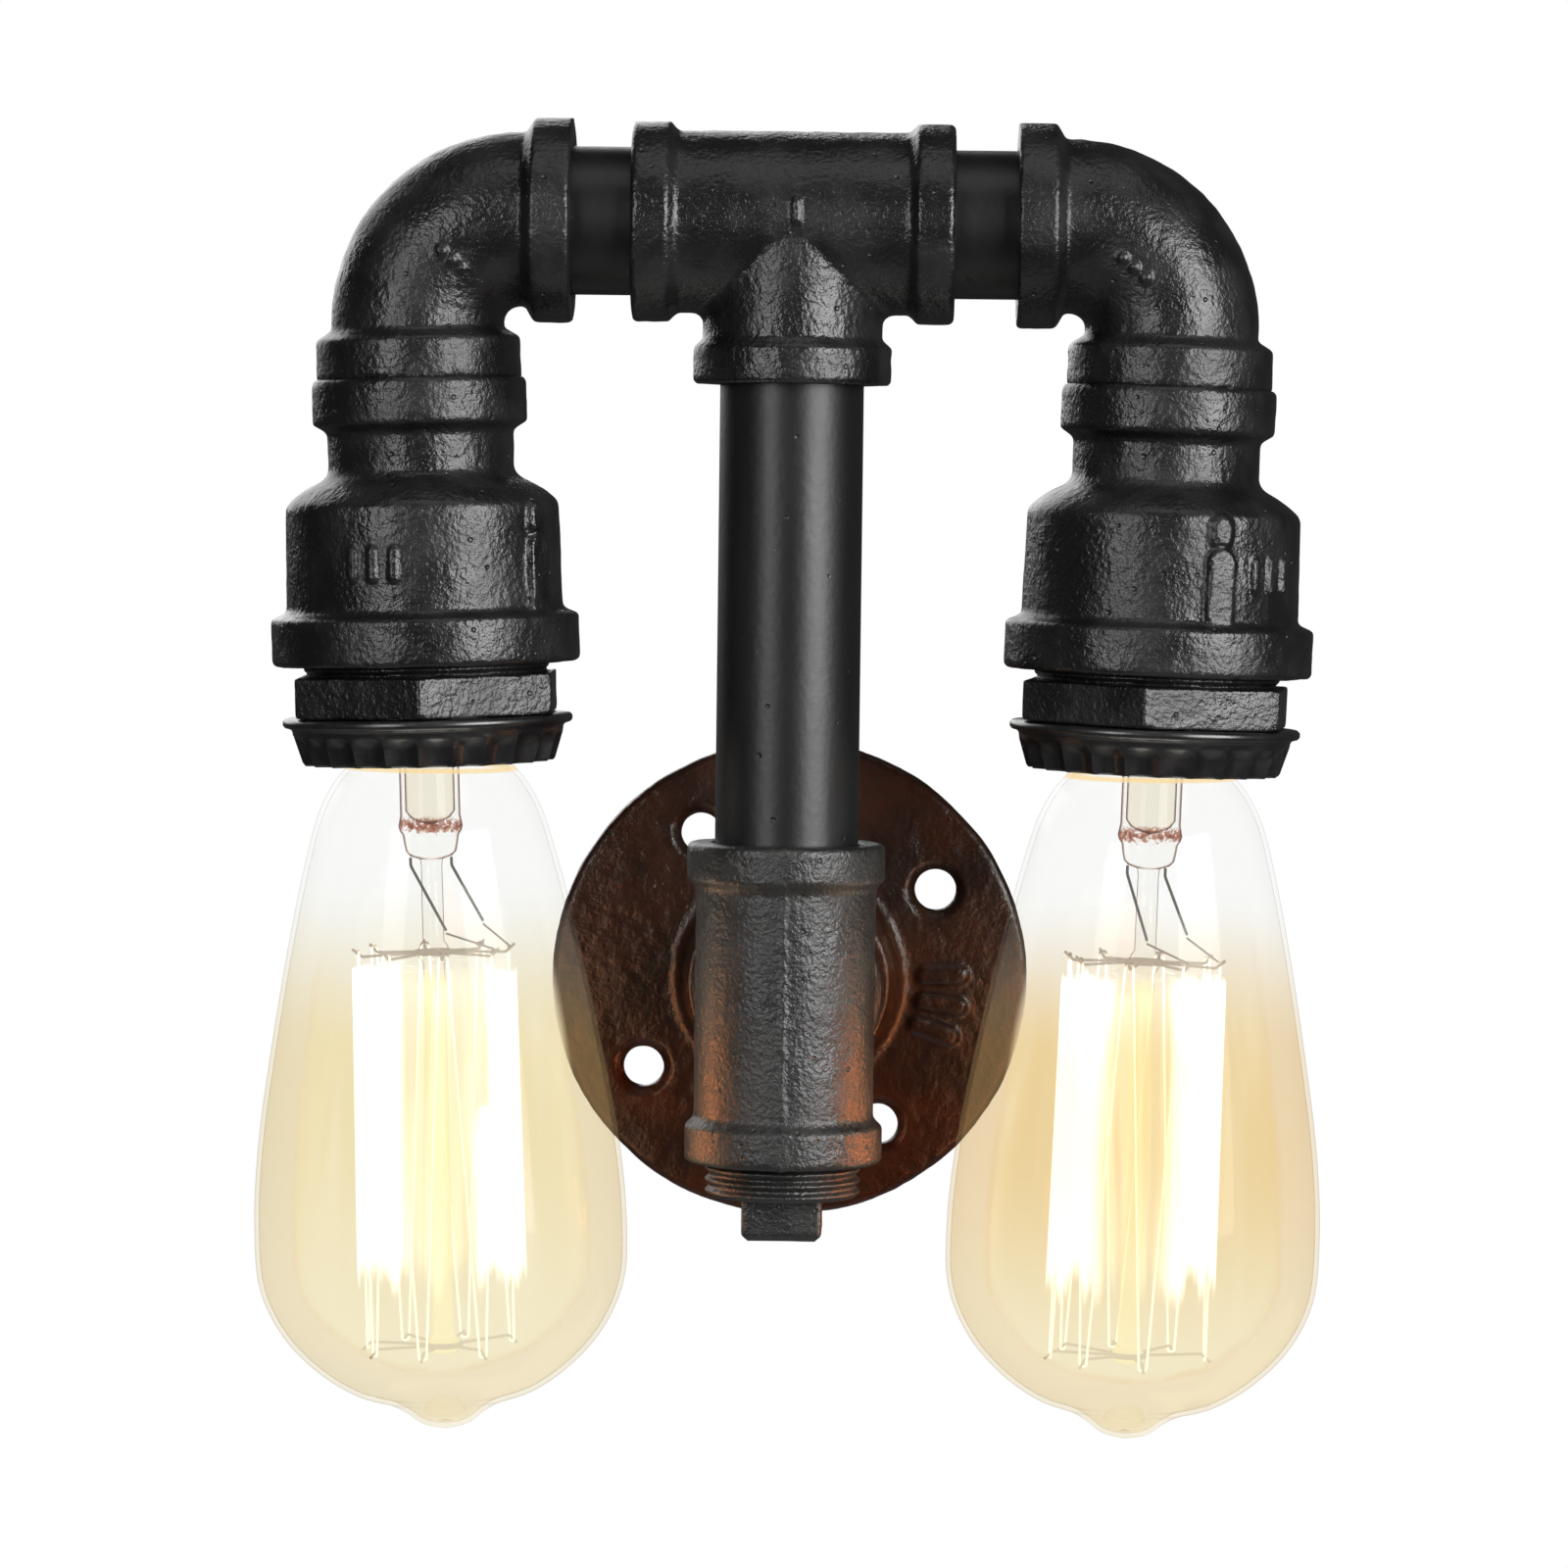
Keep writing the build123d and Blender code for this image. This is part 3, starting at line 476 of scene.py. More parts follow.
@dataclass(frozen=True)
class CastEnamel(Finish):
    """Black enamel over sand-cast iron: pebbled, semi-gloss, with a few pin holes."""

    colour: Colour = (0.0055, 0.0055, 0.006)
    worn: Colour = (0.014, 0.014, 0.014)
    pebble_mm: float = 0.95
    clump_size: float = 2.6
    fine_size: float = 0.4
    broad_mm: float = 9.0
    pit_gap_mm: float = 4.2
    pit_zone: Span = (0.05, 0.12)
    dull_zone: Span = (0.3, 0.7)
    worn_zone: Span = (0.35, 0.75)
    depth_mm: float = 0.36
    gloss: float = 0.23
    dull: float = 0.36
    specular: float = 0.55

    def build(self) -> bpy.types.Material:
        """Mix the finish.

        Returns:
            The material.
        """
        g = self.graph()
        pebble = g.grain(self.pebble_mm)
        clumps = g.grain(self.pebble_mm * self.clump_size, 1.0, 0.4, offset=(0.1, 0.4, 0.3))
        fine = g.grain(self.pebble_mm * self.fine_size, 1.0, offset=(0.3, 0.1, 0.2))
        broad = g.grain(self.broad_mm)
        pits = g.dots(self.pit_gap_mm, *self.pit_zone)
        height = pebble * 0.55 + clumps * 0.3 + fine * 0.15 - pits * 0.6
        rough = self.gloss + (self.dull - self.gloss) * g.band(broad, *self.dull_zone)
        return g.finish(
            g.surface(
                Base_Color=g.blend(g.band(broad, *self.worn_zone), self.colour, self.worn),
                Roughness=rough + fine * 0.06,
                Specular_IOR_Level=self.specular,
                Normal=g.relief(height, self.depth_mm),
            )
        )


@dataclass(frozen=True)
class PipeEnamel(Finish):
    """Satin black enamel on drawn tube: nearly smooth, with fine specks and pin holes."""

    colour: Colour = (0.006, 0.006, 0.0065)
    dust: Colour = (0.06, 0.06, 0.06)
    rough: float = 0.34
    peel_mm: float = 1.6
    drawn_mm: float = 3.0
    pit_gap_mm: float = 6.5
    pit_zone: Span = (0.04, 0.09)
    speck_gap_mm: float = 5.1
    speck_zone: Span = (0.02, 0.05)
    depth_mm: float = 0.09

    def build(self) -> bpy.types.Material:
        """Mix the finish.

        Returns:
            The material.
        """
        g = self.graph()
        peel = g.grain(self.peel_mm)
        drawn = g.grain(self.drawn_mm, stretch=(1.0, 1.0, 0.15))
        pits = g.dots(self.pit_gap_mm, *self.pit_zone)
        specks = g.dots(self.speck_gap_mm, *self.speck_zone)
        height = peel * 0.5 + drawn * 0.3 - pits * 1.2
        return g.finish(
            g.surface(
                Base_Color=g.blend(specks * 0.6, self.colour, self.dust),
                Roughness=self.rough + drawn * 0.1,
                Specular_IOR_Level=0.5,
                Normal=g.relief(height, self.depth_mm),
            )
        )


@dataclass(frozen=True)
class PlateEnamel(Finish):
    """Glossier enamel that has flowed over the flange's cast face, tinted brown by painted warm
    light of the bulbs.
    """

    # colour is black enamel with painted warm bulb light mixed in; warm is brighter patches of
    # painted warm bulb light
    colour: Colour = (0.012, 0.006, 0.004)
    warm: Colour = (0.036, 0.014, 0.006)
    rough: float = 0.24
    flow_mm: float = 2.6
    fine_mm: float = 0.9
    broad_mm: float = 14.0
    painted_bulb_light_zone: Span = (0.3, 0.7)
    specular: float = 0.42
    depth_mm: float = 0.42

    def build(self) -> bpy.types.Material:
        """Mix the finish.

        Returns:
            The material.
        """
        g = self.graph()
        flow = g.grain(self.flow_mm, 3.0, 0.55)
        fine = g.grain(self.fine_mm)
        broad = g.grain(self.broad_mm)
        return g.finish(
            g.surface(
                # painted warm bulb light, in patches spread by broad noise
                Base_Color=g.blend(g.band(broad, *self.painted_bulb_light_zone), self.colour, self.warm),
                Roughness=self.rough + flow * 0.14,
                Specular_IOR_Level=self.specular,
                Normal=g.relief(flow * 0.75 + fine * 0.25, self.depth_mm),
            )
        )


@dataclass(frozen=True)
class Moulding(Finish):
    """Black thermoset moulding with a faint brown cast and rubbed edges."""

    colour: Colour = (0.006, 0.0058, 0.006)
    rubbed: Colour = (0.016, 0.014, 0.0135)
    rough: float = 0.2
    haze_mm: float = 5.0
    fine_mm: float = 0.6
    rubbed_zone: Span = (0.4, 0.8)
    specular: float = 0.9
    depth_mm: float = 0.03

    def build(self) -> bpy.types.Material:
        """Mix the finish.

        Returns:
            The material.
        """
        g = self.graph()
        haze = g.grain(self.haze_mm, 3.0, 0.6)
        fine = g.grain(self.fine_mm)
        return g.finish(
            g.surface(
                Base_Color=g.blend(g.band(haze, *self.rubbed_zone), self.colour, self.rubbed),
                Roughness=self.rough + haze * 0.2,
                Specular_IOR_Level=self.specular,
                Normal=g.relief(fine * 0.5 + haze * 0.5, self.depth_mm),
            )
        )


@dataclass(frozen=True)
class TurnedMetal(Finish):
    """Bare bright metal with turning lines and light tarnish."""

    colour: Colour
    tarnish: Colour
    rough: float = 0.28
    cloud_mm: float = 4.0
    line_mm: float = 0.5
    tarnish_zone: Span = (0.35, 0.8)
    depth_mm: float = 0.02

    def build(self) -> bpy.types.Material:
        """Mix the finish.

        Returns:
            The material.
        """
        g = self.graph()
        cloud = g.grain(self.cloud_mm, 3.0, 0.6)
        lines = g.grain(self.line_mm, stretch=(0.2, 0.2, 1.0))
        return g.finish(
            g.surface(
                Base_Color=g.blend(g.band(cloud, *self.tarnish_zone), self.colour, self.tarnish),
                Metallic=1.0,
                Roughness=self.rough + cloud * 0.15,
                Normal=g.relief(lines, self.depth_mm),
            )
        )


@dataclass(frozen=True)
class Insulation(Finish):
    """Matt sheath or core insulation."""

    colour: Colour
    shade: Colour
    rough: float = 0.5
    cloud_mm: float = 3.0
    fine_mm: float = 0.5
    depth_mm: float = 0.02

    def build(self) -> bpy.types.Material:
        """Mix the finish.

        Returns:
            The material.
        """
        g = self.graph()
        cloud = g.grain(self.cloud_mm, 3.0)
        fine = g.grain(self.fine_mm)
        return g.finish(
            g.surface(
                Base_Color=g.blend(cloud, self.colour, self.shade),
                Roughness=self.rough + fine * 0.15,
                Normal=g.relief(fine, self.depth_mm),
            )
        )


@dataclass(frozen=True)
class PaintedGlowWire(Finish):
    """Browned support wire with a painted glow: its emission stands in for the wire lit through
    by the strands around it.
    """

    # colour and dark are painted glow, emission colours that stand in for the strands' light on
    # the wire
    colour: Colour
    dark: Colour
    skin: Colour = (0.004, 0.003, 0.002)
    cloud_mm: float = 1.2
    depth_mm: float = 0.01

    def build(self) -> bpy.types.Material:
        """Mix the finish.

        Returns:
            The material.
        """
        g = self.graph()
        cloud = g.grain(self.cloud_mm)
        return g.finish(
            g.surface(
                Base_Color=self.skin,
                Specular_IOR_Level=0.05,
                Roughness=0.7 + cloud * 0.2,
                # painted glow: the emission, not the near-black base, gives the wire its lit
                # colour
                Emission_Color=g.blend(cloud, self.colour, self.dark),
                Emission_Strength=1.0,
                Normal=g.relief(cloud, self.depth_mm),
            )
        )


@dataclass(frozen=True)
class HotWire(Finish):
    """Glowing filament wire, whose tails above the cage stay dark."""

    colour: Colour = (1.0, 0.95, 0.75)
    deep: Colour = (1.0, 0.85, 0.5)
    tail: Colour = (0.05, 0.03, 0.018)
    skin: Colour = (0.02, 0.012, 0.006)
    tail_span: Span = (7.0 * MM, 8.5 * MM)
    coil_mm: float = 0.4
    strength: float = 3.0
    depth_mm: float = 0.02

    def build(self) -> bpy.types.Material:
        """Mix the finish.

        Returns:
            The material.
        """
        g = self.graph()
        coil = g.grain(self.coil_mm)
        cool = g.band(g.along("Z"), *self.tail_span)
        return g.finish(
            g.surface(
                Base_Color=self.skin,
                Specular_IOR_Level=0.1,
                Roughness=0.5 + coil * 0.2,
                Emission_Color=g.blend(cool, g.blend(coil, self.colour, self.deep), self.tail),
                Emission_Strength=self.strength,
                Normal=g.relief(coil, self.depth_mm),
            )
        )


@dataclass(frozen=True)
class TintedGlass(Finish):
    """Lit envelope glass: clear at the neck and a painted glowing amber wash further down,
    painted deeper and fainter at the silhouette, with painted dark rims and a painted bright
    line at the neck.
    """

    clear: Colour = (0.992, 0.994, 0.99)
    amber: Colour = (0.96, 0.937, 0.86)
    thin_amber: Colour = (0.97, 0.952, 0.888)
    # rim is a painted dark rim at grazing angles, standing in for refraction at the glass's
    # edges
    rim: Colour = (0.5, 0.44, 0.36)
    # haze, glow, pale, foot and edge are colours of painted glow, the strands' light in the
    # glass; edge is the glow painted deeper at the silhouette
    haze: Colour = (0.9, 0.92, 0.93)
    glow: Colour = (0.9, 0.785, 0.49)
    pale: Colour = (0.96, 0.88, 0.65)
    foot: Colour = (0.93, 0.86, 0.64)
    edge: Colour = (0.85, 0.6, 0.3)
    # neck_glow is a painted bright line where the glass meets the lampholder
    neck_glow: Colour = (1.0, 0.72, 0.3)
    gloss: Colour = (1.0, 0.98, 0.94)
    backdrop: Colour = (0.93, 0.89, 0.78)
    wash_span: Span = (22.0 * MM, -9.0 * MM)
    foot_span: Span = (-20.0 * MM, -64.0 * MM)
    painted_edge_fade_span: Span = (0.35, 0.42)
    painted_dark_rim_span: Span = (0.86, 0.99)
    painted_dark_rim_share: float = 0.35
    pale_zone: Span = (0.4, 0.75)
    neck_z: float = 38.9 * MM
    neck_width: float = 1.2 * MM
    soft: float = 0.4 * MM
    fill: float = 0.42
    haze_fill: float = 0.03
    painted_edge_glow_fill: float = 0.1
    neck_fill: float = 0.5
    cloud_mm: float = 26.0
    streak_mm: float = 7.0
    ripple_mm: float = 18.0
    ripple_depth_mm: float = 0.4
    shine: Span = (0.006, 0.028)

    def build(self) -> bpy.types.Material:
        """Mix the finish.

        Returns:
            The material.
        """
        g = self.graph()
        height, facing = g.along("Z"), g.facing()
        cloud = g.grain(self.cloud_mm, 3.0, 0.55, stretch=(1.0, 1.0, 0.35))
        streak = g.grain(self.streak_mm, stretch=(1.0, 1.0, 0.07))
        wash = g.band(height + (cloud - 0.5) * 0.012, *self.wash_span)
        # inside is 0 at the silhouette, where the painted glow turns deeper and fainter
        inside = 1.0 - g.band(facing + (streak - 0.5) * 0.09, *self.painted_edge_fade_span)
        neck = self.neck_line(g, height)
        low = g.band(height, *self.foot_span)
        tint = g.blend(wash, self.clear, g.blend(low, self.amber, self.thin_amber))
        # painted dark rim at grazing angles
        tint = g.blend(g.band(facing, *self.painted_dark_rim_span) * self.painted_dark_rim_share, tint, self.rim)
        # painted glow: the emission colours stand in for the strands' light in the glass
        light = g.blend(g.band(streak, *self.pale_zone), self.glow, self.pale)
        light = g.blend(low, light, self.foot)
        light = g.blend(inside, self.edge, light)
        light = g.blend(wash, self.haze, light)
        light = g.blend(neck, light, self.neck_glow)
        zone = self.painted_edge_glow_fill + (1.0 - self.painted_edge_glow_fill) * inside
        amount = ((self.haze_fill + wash * self.fill) * zone).at_least(neck * self.neck_fill)
        body = g.mix(amount, g.clear(tint), g.light(light))
        waves = g.grain(self.ripple_mm, stretch=(1.0, 1.0, 0.4))
        mirror = g.mirror(self.gloss, 0.05, g.relief(waves, self.ripple_depth_mm))
        least, most = self.shine
        shine = least + g.band(facing, 0.35, 1.0) * (most - least)
        glass = g.mix(shine, body, mirror)
        return g.finish(g.clear_past(CLEAR_LAYERS, glass, self.backdrop))

    def neck_line(self, g: Graph, height: Value) -> Value:
        """The painted bright line where the glass meets the lampholder.

        Args:
            g: the material's graph.
            height: the place up the shared frame.

        Returns:
            1 on the line and 0 away from it.
        """
        top = self.neck_z + self.neck_width
        above = g.band(height, top - self.soft, top)
        return g.band(height, self.neck_z, self.neck_z + self.soft) * (1.0 - above)


@dataclass(frozen=True)
class StemGlass(Finish):
    """Clear drawn glass of the stem and rod, with painted warm dark rims, a copper seal and a
    painted glow where the rod runs among the strands.
    """

    clear: Colour = (0.985, 0.98, 0.97)
    # rim is a painted dark rim at grazing angles, standing in for refraction at the glass's
    # edges
    rim: Colour = (0.36, 0.2, 0.13)
    seal: Colour = (0.45, 0.15, 0.06)
    # glow is painted light of the strands on the rod among them
    glow: Colour = (1.0, 0.93, 0.42)
    gloss: Colour = (1.0, 1.0, 1.0)
    backdrop: Colour = (0.95, 0.92, 0.85)
    seal_foot: Span = (28.4 * MM, 29.1 * MM)
    seal_top: Span = (30.1 * MM, 30.8 * MM)
    seal_zone: Span = (0.35, 0.55)
    painted_dark_rim_span: Span = (0.55, 0.85)
    lit_span: Span = (5.5 * MM, 1.5 * MM)
    streak_mm: float = 2.5
    ragged_mm: float = 1.1

    def build(self) -> bpy.types.Material:
        """Mix the finish.

        Returns:
            The material.
        """
        g = self.graph()
        height, facing = g.along("Z"), g.facing()
        streak = g.grain(self.streak_mm, stretch=(1.0, 1.0, 0.1))
        ragged = g.grain(self.ragged_mm, 3.0, 0.6)
        edge = height + (ragged - 0.5) * 0.004
        seal = g.band(edge, *self.seal_foot) * (1.0 - g.band(edge, *self.seal_top))
        seal = seal * g.band(ragged, *self.seal_zone)
        # painted dark rims at grazing angles
        rim = g.band(facing + (streak - 0.5) * 0.1, *self.painted_dark_rim_span)
        tint = g.blend(seal * 0.9, g.blend(rim, self.clear, self.rim), self.seal)
        # painted glow of the strands, on the rod below the cage's top
        warm = g.band(height, *self.lit_span) * (0.35 + 0.4 * streak)
        body = g.mix(warm, g.clear(tint), g.light(self.glow, 1.3))
        shine = 0.01 + g.band(facing, 0.4, 1.0) * 0.05
        glass = g.mix(shine, body, g.mirror(self.gloss, 0.06))
        return g.finish(g.clear_past(CLEAR_LAYERS, glass, self.backdrop))


@dataclass(frozen=True)
class CageGlow(Finish):
    """The over-exposed light of the strand cage, thin in the middle and solid at its sides."""

    white: Colour = (1.0, 1.0, 1.0)
    cream: Colour = (1.0, 0.93, 0.7)
    backdrop: Colour = (1.0, 0.97, 0.88)
    strength: float = 3.4
    middle: float = 0.08
    top: float = 5.2 * MM
    foot: float = -43.0 * MM
    thin_x: float = 0.0
    thin_width: float = 4.0 * MM
    thin_z: Span = (-22.0 * MM, -19.0 * MM)
    thin: float = 0.0
    strand_mm: float = 2.4
    strand_zone: Span = (0.5, 0.62)
    side_span: Span = (0.04, 0.17)
    foot_fade: float = 6.0 * MM
    top_fade: float = 3.0 * MM

    def build(self) -> bpy.types.Material:
        """Mix the finish.

        Returns:
            The material.
        """
        g = self.graph()
        height = g.along("Z")
        strands = g.grain(self.strand_mm, stretch=(1.0, 1.0, 0.03))
        thin = g.band(g.along("X"), self.thin_x, self.thin_x + self.thin_width) * self.thin
        thin = thin * g.band(height + (strands - 0.5) * 0.01, *self.thin_z)
        sides = g.band(g.facing() - thin + (strands - 0.5) * 0.16, *self.side_span)
        ragged_foot = height + (strands - 0.5) * 0.016
        ragged_top = height + (strands - 0.5) * 0.006
        ends = g.band(ragged_foot, self.foot - self.foot_fade, self.foot)
        ends = ends * (1.0 - g.band(ragged_top, self.top - self.top_fade, self.top))
        amount = self.middle + 0.2 * g.band(strands, *self.strand_zone)
        amount = amount.at_least(sides) * ends
        light = g.light(g.blend(sides, self.cream, self.white), self.strength)
        glass = g.mix(amount, g.clear(self.white), light)
        return g.finish(g.clear_past(CLEAR_LAYERS, glass, self.backdrop))


class PaintShop:
    """Every finish that the pieces share, each mixed once."""

    def __init__(self) -> None:
        """Mix the finishes."""
        self.iron = CastEnamel("cast_enamel").build()
        self.pipe = PipeEnamel("pipe_enamel").build()
        self.plate = PlateEnamel("plate_enamel").build()
        self.moulding = Moulding("black_moulding").build()
        self.stem = StemGlass("stem_glass").build()
        self.filament = HotWire("hot_wire").build()
        self.tee = CastEnamel(
            "tee_enamel",
            colour=(0.008, 0.008, 0.008),
            worn=(0.018, 0.017, 0.016),
            pebble_mm=0.8,
            depth_mm=0.42,
            gloss=0.32,
            dull=0.42,
            specular=0.7,
        ).build()
        self.brass = TurnedMetal("brass", (0.62, 0.44, 0.18), (0.4, 0.27, 0.1)).build()
        self.cap = TurnedMetal("bright_cap", (0.72, 0.71, 0.68), (0.5, 0.47, 0.42)).build()
        self.solder = TurnedMetal("solder", (0.6, 0.6, 0.6), (0.4, 0.4, 0.4), 0.4).build()
        # the hook and lead wires get painted glows in place of the strands' light on them
        self.hooks = PaintedGlowWire("hook_wire", (0.45, 0.32, 0.2), (0.2, 0.135, 0.085)).build()
        self.leads = PaintedGlowWire("lead_wire", (0.14, 0.12, 0.1), (0.05, 0.045, 0.04)).build()
        self.sheath = Insulation("cable_sheath", (0.6, 0.6, 0.58), (0.5, 0.5, 0.48)).build()
        self.cores = Insulation("core_insulation", (0.5, 0.2, 0.08), (0.1, 0.2, 0.5)).build()
        # the envelopes' glow colours are painted light of the strands, deeper in the right bulb
        self.glass = {
            Side.LEFT: TintedGlass("left_amber_glass").build(),
            Side.RIGHT: TintedGlass(
                "right_amber_glass",
                amber=(0.965, 0.92, 0.832),
                thin_amber=(0.975, 0.95, 0.878),
                glow=(0.86, 0.67, 0.35),
                pale=(0.94, 0.81, 0.52),
            ).build(),
        }
        self.strands = {
            Side.LEFT: CageGlow("left_strand_glow", thin_x=-59.5 * MM, thin=0.13).build(),
            Side.RIGHT: CageGlow("right_strand_glow").build(),
        }


# ---- mesh making --------------------------------------------------------------------------


def new_object(name: str, mesh: bpy.types.Mesh) -> bpy.types.Object:
    """Link a mesh into the scene.

    Args:
        name: the object's name.
        mesh: its mesh.

    Returns:
        The object.
    """
    made = bpy.data.objects.new(name, mesh)
    bpy.context.scene.collection.objects.link(made)
    return made


def from_bmesh(name: str, shape: bmesh.types.BMesh, crease: float) -> bpy.types.Object:
    """Turn a bmesh into a smooth-shaded object with sharp creases.

    Args:
        name: the object's name.
        shape: the bmesh, which is freed.
        crease: edges sharper than this, in degrees, stay sharp.

    Returns:
        The object.
    """
    bmesh.ops.recalc_face_normals(shape, faces=shape.faces)
    limit = math.radians(crease)
    for edge in shape.edges:
        edge.smooth = not (len(edge.link_faces) == 2 and edge.calc_face_angle(0.0) > limit)
    for face in shape.faces:
        face.smooth = True
    mesh = bpy.data.meshes.new(name)
    shape.to_mesh(mesh)
    shape.free()
    return new_object(name, mesh)


def lathe(
    profile: Sequence[Point],
    place: Matrix,
    segments: int,
    swell: Callable[[float, float, float], float] | None = None,
) -> bmesh.types.BMesh:
    """Turn a closed profile about Z.

    Args:
        profile: (radius, height) corners in millimetres, going round the section.
        place: the matrix from the profile's frame to the shared one.
        segments: steps round the axis.
        swell: extra radius in millimetres for an angle, radius and height.

    Returns:
        The shape.
    """
    shape = bmesh.new()
    rings: list[list[bmesh.types.BMVert]] = []
    for r, z in profile:
        if r == 0.0:
            rings.append([shape.verts.new(place @ Vector((0.0, 0.0, z * MM)))])
            continue
        ring = []
        for i in range(segments):
            a = 2.0 * math.pi * i / segments
            out = r + (swell(a, r, z) if swell else 0.0)
            corner = Vector((out * math.cos(a) * MM, out * math.sin(a) * MM, z * MM))
            ring.append(shape.verts.new(place @ corner))
        rings.append(ring)
    for ring, after in zip(rings, rings[1:] + rings[:1]):
        if len(ring) == 1 and len(after) == 1:
            continue
        for i in range(segments):
            k = (i + 1) % segments
            corners = [ring[i % len(ring)], ring[k % len(ring)]]
            corners += [after[k % len(after)], after[i % len(after)]]
            shape.faces.new(list(dict.fromkeys(corners)))
    return shape


def rounded(
    profile: Sequence[Point], radii: Sequence[float], steps: int = 4, sharpest: float = 0.05
) -> list[Point]:
    """Round the corners of a closed profile.

    Args:
        profile: the corners.
        radii: one rounding for each corner.
        steps: points along each rounding.
        sharpest: half of the smallest angle that a corner counts as having, in radians.

    Returns:
        The rounded profile.
    """
    out: list[Point] = []
    for i, (corner, radius) in enumerate(zip(profile, radii)):
        here = Vector(corner)
        before = Vector(profile[i - 1]) - here
        after = Vector(profile[(i + 1) % len(profile)]) - here
        one, two = before.normalized(), after.normalized()
        half = max(one.angle(two) / 2.0, sharpest)
        back = min(radius / math.tan(half), before.length / 2, after.length / 2)
        start, end = here + one * back, here + two * back
        for s in range(steps + 1):
            t = s / steps
            p = start * (1 - t) ** 2 + here * 2 * t * (1 - t) + end * t**2
            out.append((p.x, p.y))
    return out


def through(points: Sequence[Point], steps: int = 6) -> list[Point]:
    """A smooth chain through points, by centripetal Catmull-Rom.

    Args:
        points: the points.
        steps: chords between two points.

    Returns:
        The chain.
    """
    first, last = Vector(points[0]), Vector(points[-1])
    ends = [first * 2 - Vector(points[1]), *map(Vector, points), last * 2 - Vector(points[-2])]
    out: list[Point] = []
    for a, b, c, d in zip(ends, ends[1:], ends[2:], ends[3:]):
        t0, t1 = 0.0, (b - a).length ** 0.5
        t2 = t1 + (c - b).length ** 0.5
        t3 = t2 + (d - c).length ** 0.5
        for s in range(steps):
            t = t1 + (t2 - t1) * s / steps
            ab = a * ((t1 - t) / (t1 - t0)) + b * ((t - t0) / (t1 - t0))
            bc = b * ((t2 - t) / (t2 - t1)) + c * ((t - t1) / (t2 - t1))
            cd = c * ((t3 - t) / (t3 - t2)) + d * ((t - t2) / (t3 - t2))
            abc = ab * ((t2 - t) / (t2 - t0)) + bc * ((t - t0) / (t2 - t0))
            bcd = bc * ((t3 - t) / (t3 - t1)) + cd * ((t - t1) / (t3 - t1))
            p = abc * ((t2 - t) / (t2 - t1)) + bcd * ((t - t1) / (t2 - t1))
            out.append((p.x, p.y))
    out.append(points[-1])
    return out


def lattice(points: np.ndarray, size_mm: float, seed: int) -> np.ndarray:
    """Smooth value noise that is the same in every run.

    Args:
        points: n by 3 places in metres.
        size_mm: spacing of the lattice.
        seed: which pattern.

    Returns:
        n numbers from -1 to 1.
    """
    scaled = points / (size_mm * MM) + 1000.0  # the shift keeps every cell's number positive
    cell = np.floor(scaled).astype(np.int64)
    part = scaled - cell
    part = part * part * (3.0 - 2.0 * part)
    total = np.zeros(len(points))
    for corner in np.ndindex(2, 2, 2):
        near = cell + corner
        # the usual primes of a spatial hash stir the corner's place into a number
        key = near[:, 0] * 73856093 ^ near[:, 1] * 19349663 ^ near[:, 2] * 83492791
        key ^= seed * 2654435761
        key = (key ^ (key >> 13)) * 1274126177 & 0xFFFFFFFF
        drawn = ((key ^ (key >> 16)) & 0xFFFF) / 32767.5 - 1.0
        total += drawn * np.prod(np.where(corner, part, 1.0 - part), axis=1)
    return total


def dressed(
    piece: bpy.types.Object, body: str, finish: bpy.types.Material
) -> bpy.types.Object:
    """Give a piece its finish and let it ride.

    Args:
        piece: the piece.
        body: the body it rides on.
        finish: its material.

    Returns:
        The same piece.
    """
    piece.data.materials.clear()
    piece.data.materials.append(finish)
    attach(piece, body)
    return piece


def repaint(node: bpy.types.Object, finish: bpy.types.Material) -> None:
    """Give a CAD node its finish.

    Args:
        node: the node's object.
        finish: its material.
    """
    if not node.material_slots:
        node.data.materials.append(finish)
    for place in node.material_slots:
        place.material = finish
    for face in node.data.polygons:
        face.use_smooth = True


# ---- cast, drawn and moulded pieces -------------------------------------------------------


@dataclass(frozen=True)
class Seam:
    """The parting line that a two-part mould leaves on a casting."""

    point: Vector
    normal: Vector
    height_mm: float = 0.16
    width_mm: float = 0.35
    stray_mm: float = 0.16

    def rise(self, points: np.ndarray) -> np.ndarray:
        """How far the seam stands out.

        Args:
            points: n by 3 places in metres.

        Returns:
            n heights in metres.
        """
        ragged = lattice(points, 2.5, 7) * self.stray_mm * MM
        off = (points - np.array(self.point)) @ np.array(self.normal) + ragged
        ridge = np.exp(-((off / (self.width_mm * MM)) ** 2))
        return ridge * self.height_mm * MM * (0.7 + 0.5 * lattice(points, 1.8, 8))


@dataclass(frozen=True)
class Pip:
    """A small raised bar or dot cast into the skin, a plain one with no meaning."""

    start: Vector
    end: Vector
    radius_mm: float
    height_mm: float

    def rise(self, points: np.ndarray) -> np.ndarray:
        """How far the bar stands out.

        Args:
            points: n by 3 places in metres.

        Returns:
            n heights in metres.
        """
        start, run = np.array(self.start), np.array(self.end - self.start)
        length = float(run @ run) or 1.0  # a dot has no length, and any divisor will do
        along = np.clip((points - start) @ run / length, 0.0, 1.0)
        off = np.linalg.norm(points - (start + along[:, None] * run), axis=1)
        edge = np.clip((1.35 - off / (self.radius_mm * MM)) / 0.7, 0.0, 1.0)
        return edge * edge * (3.0 - 2.0 * edge) * self.height_mm * MM


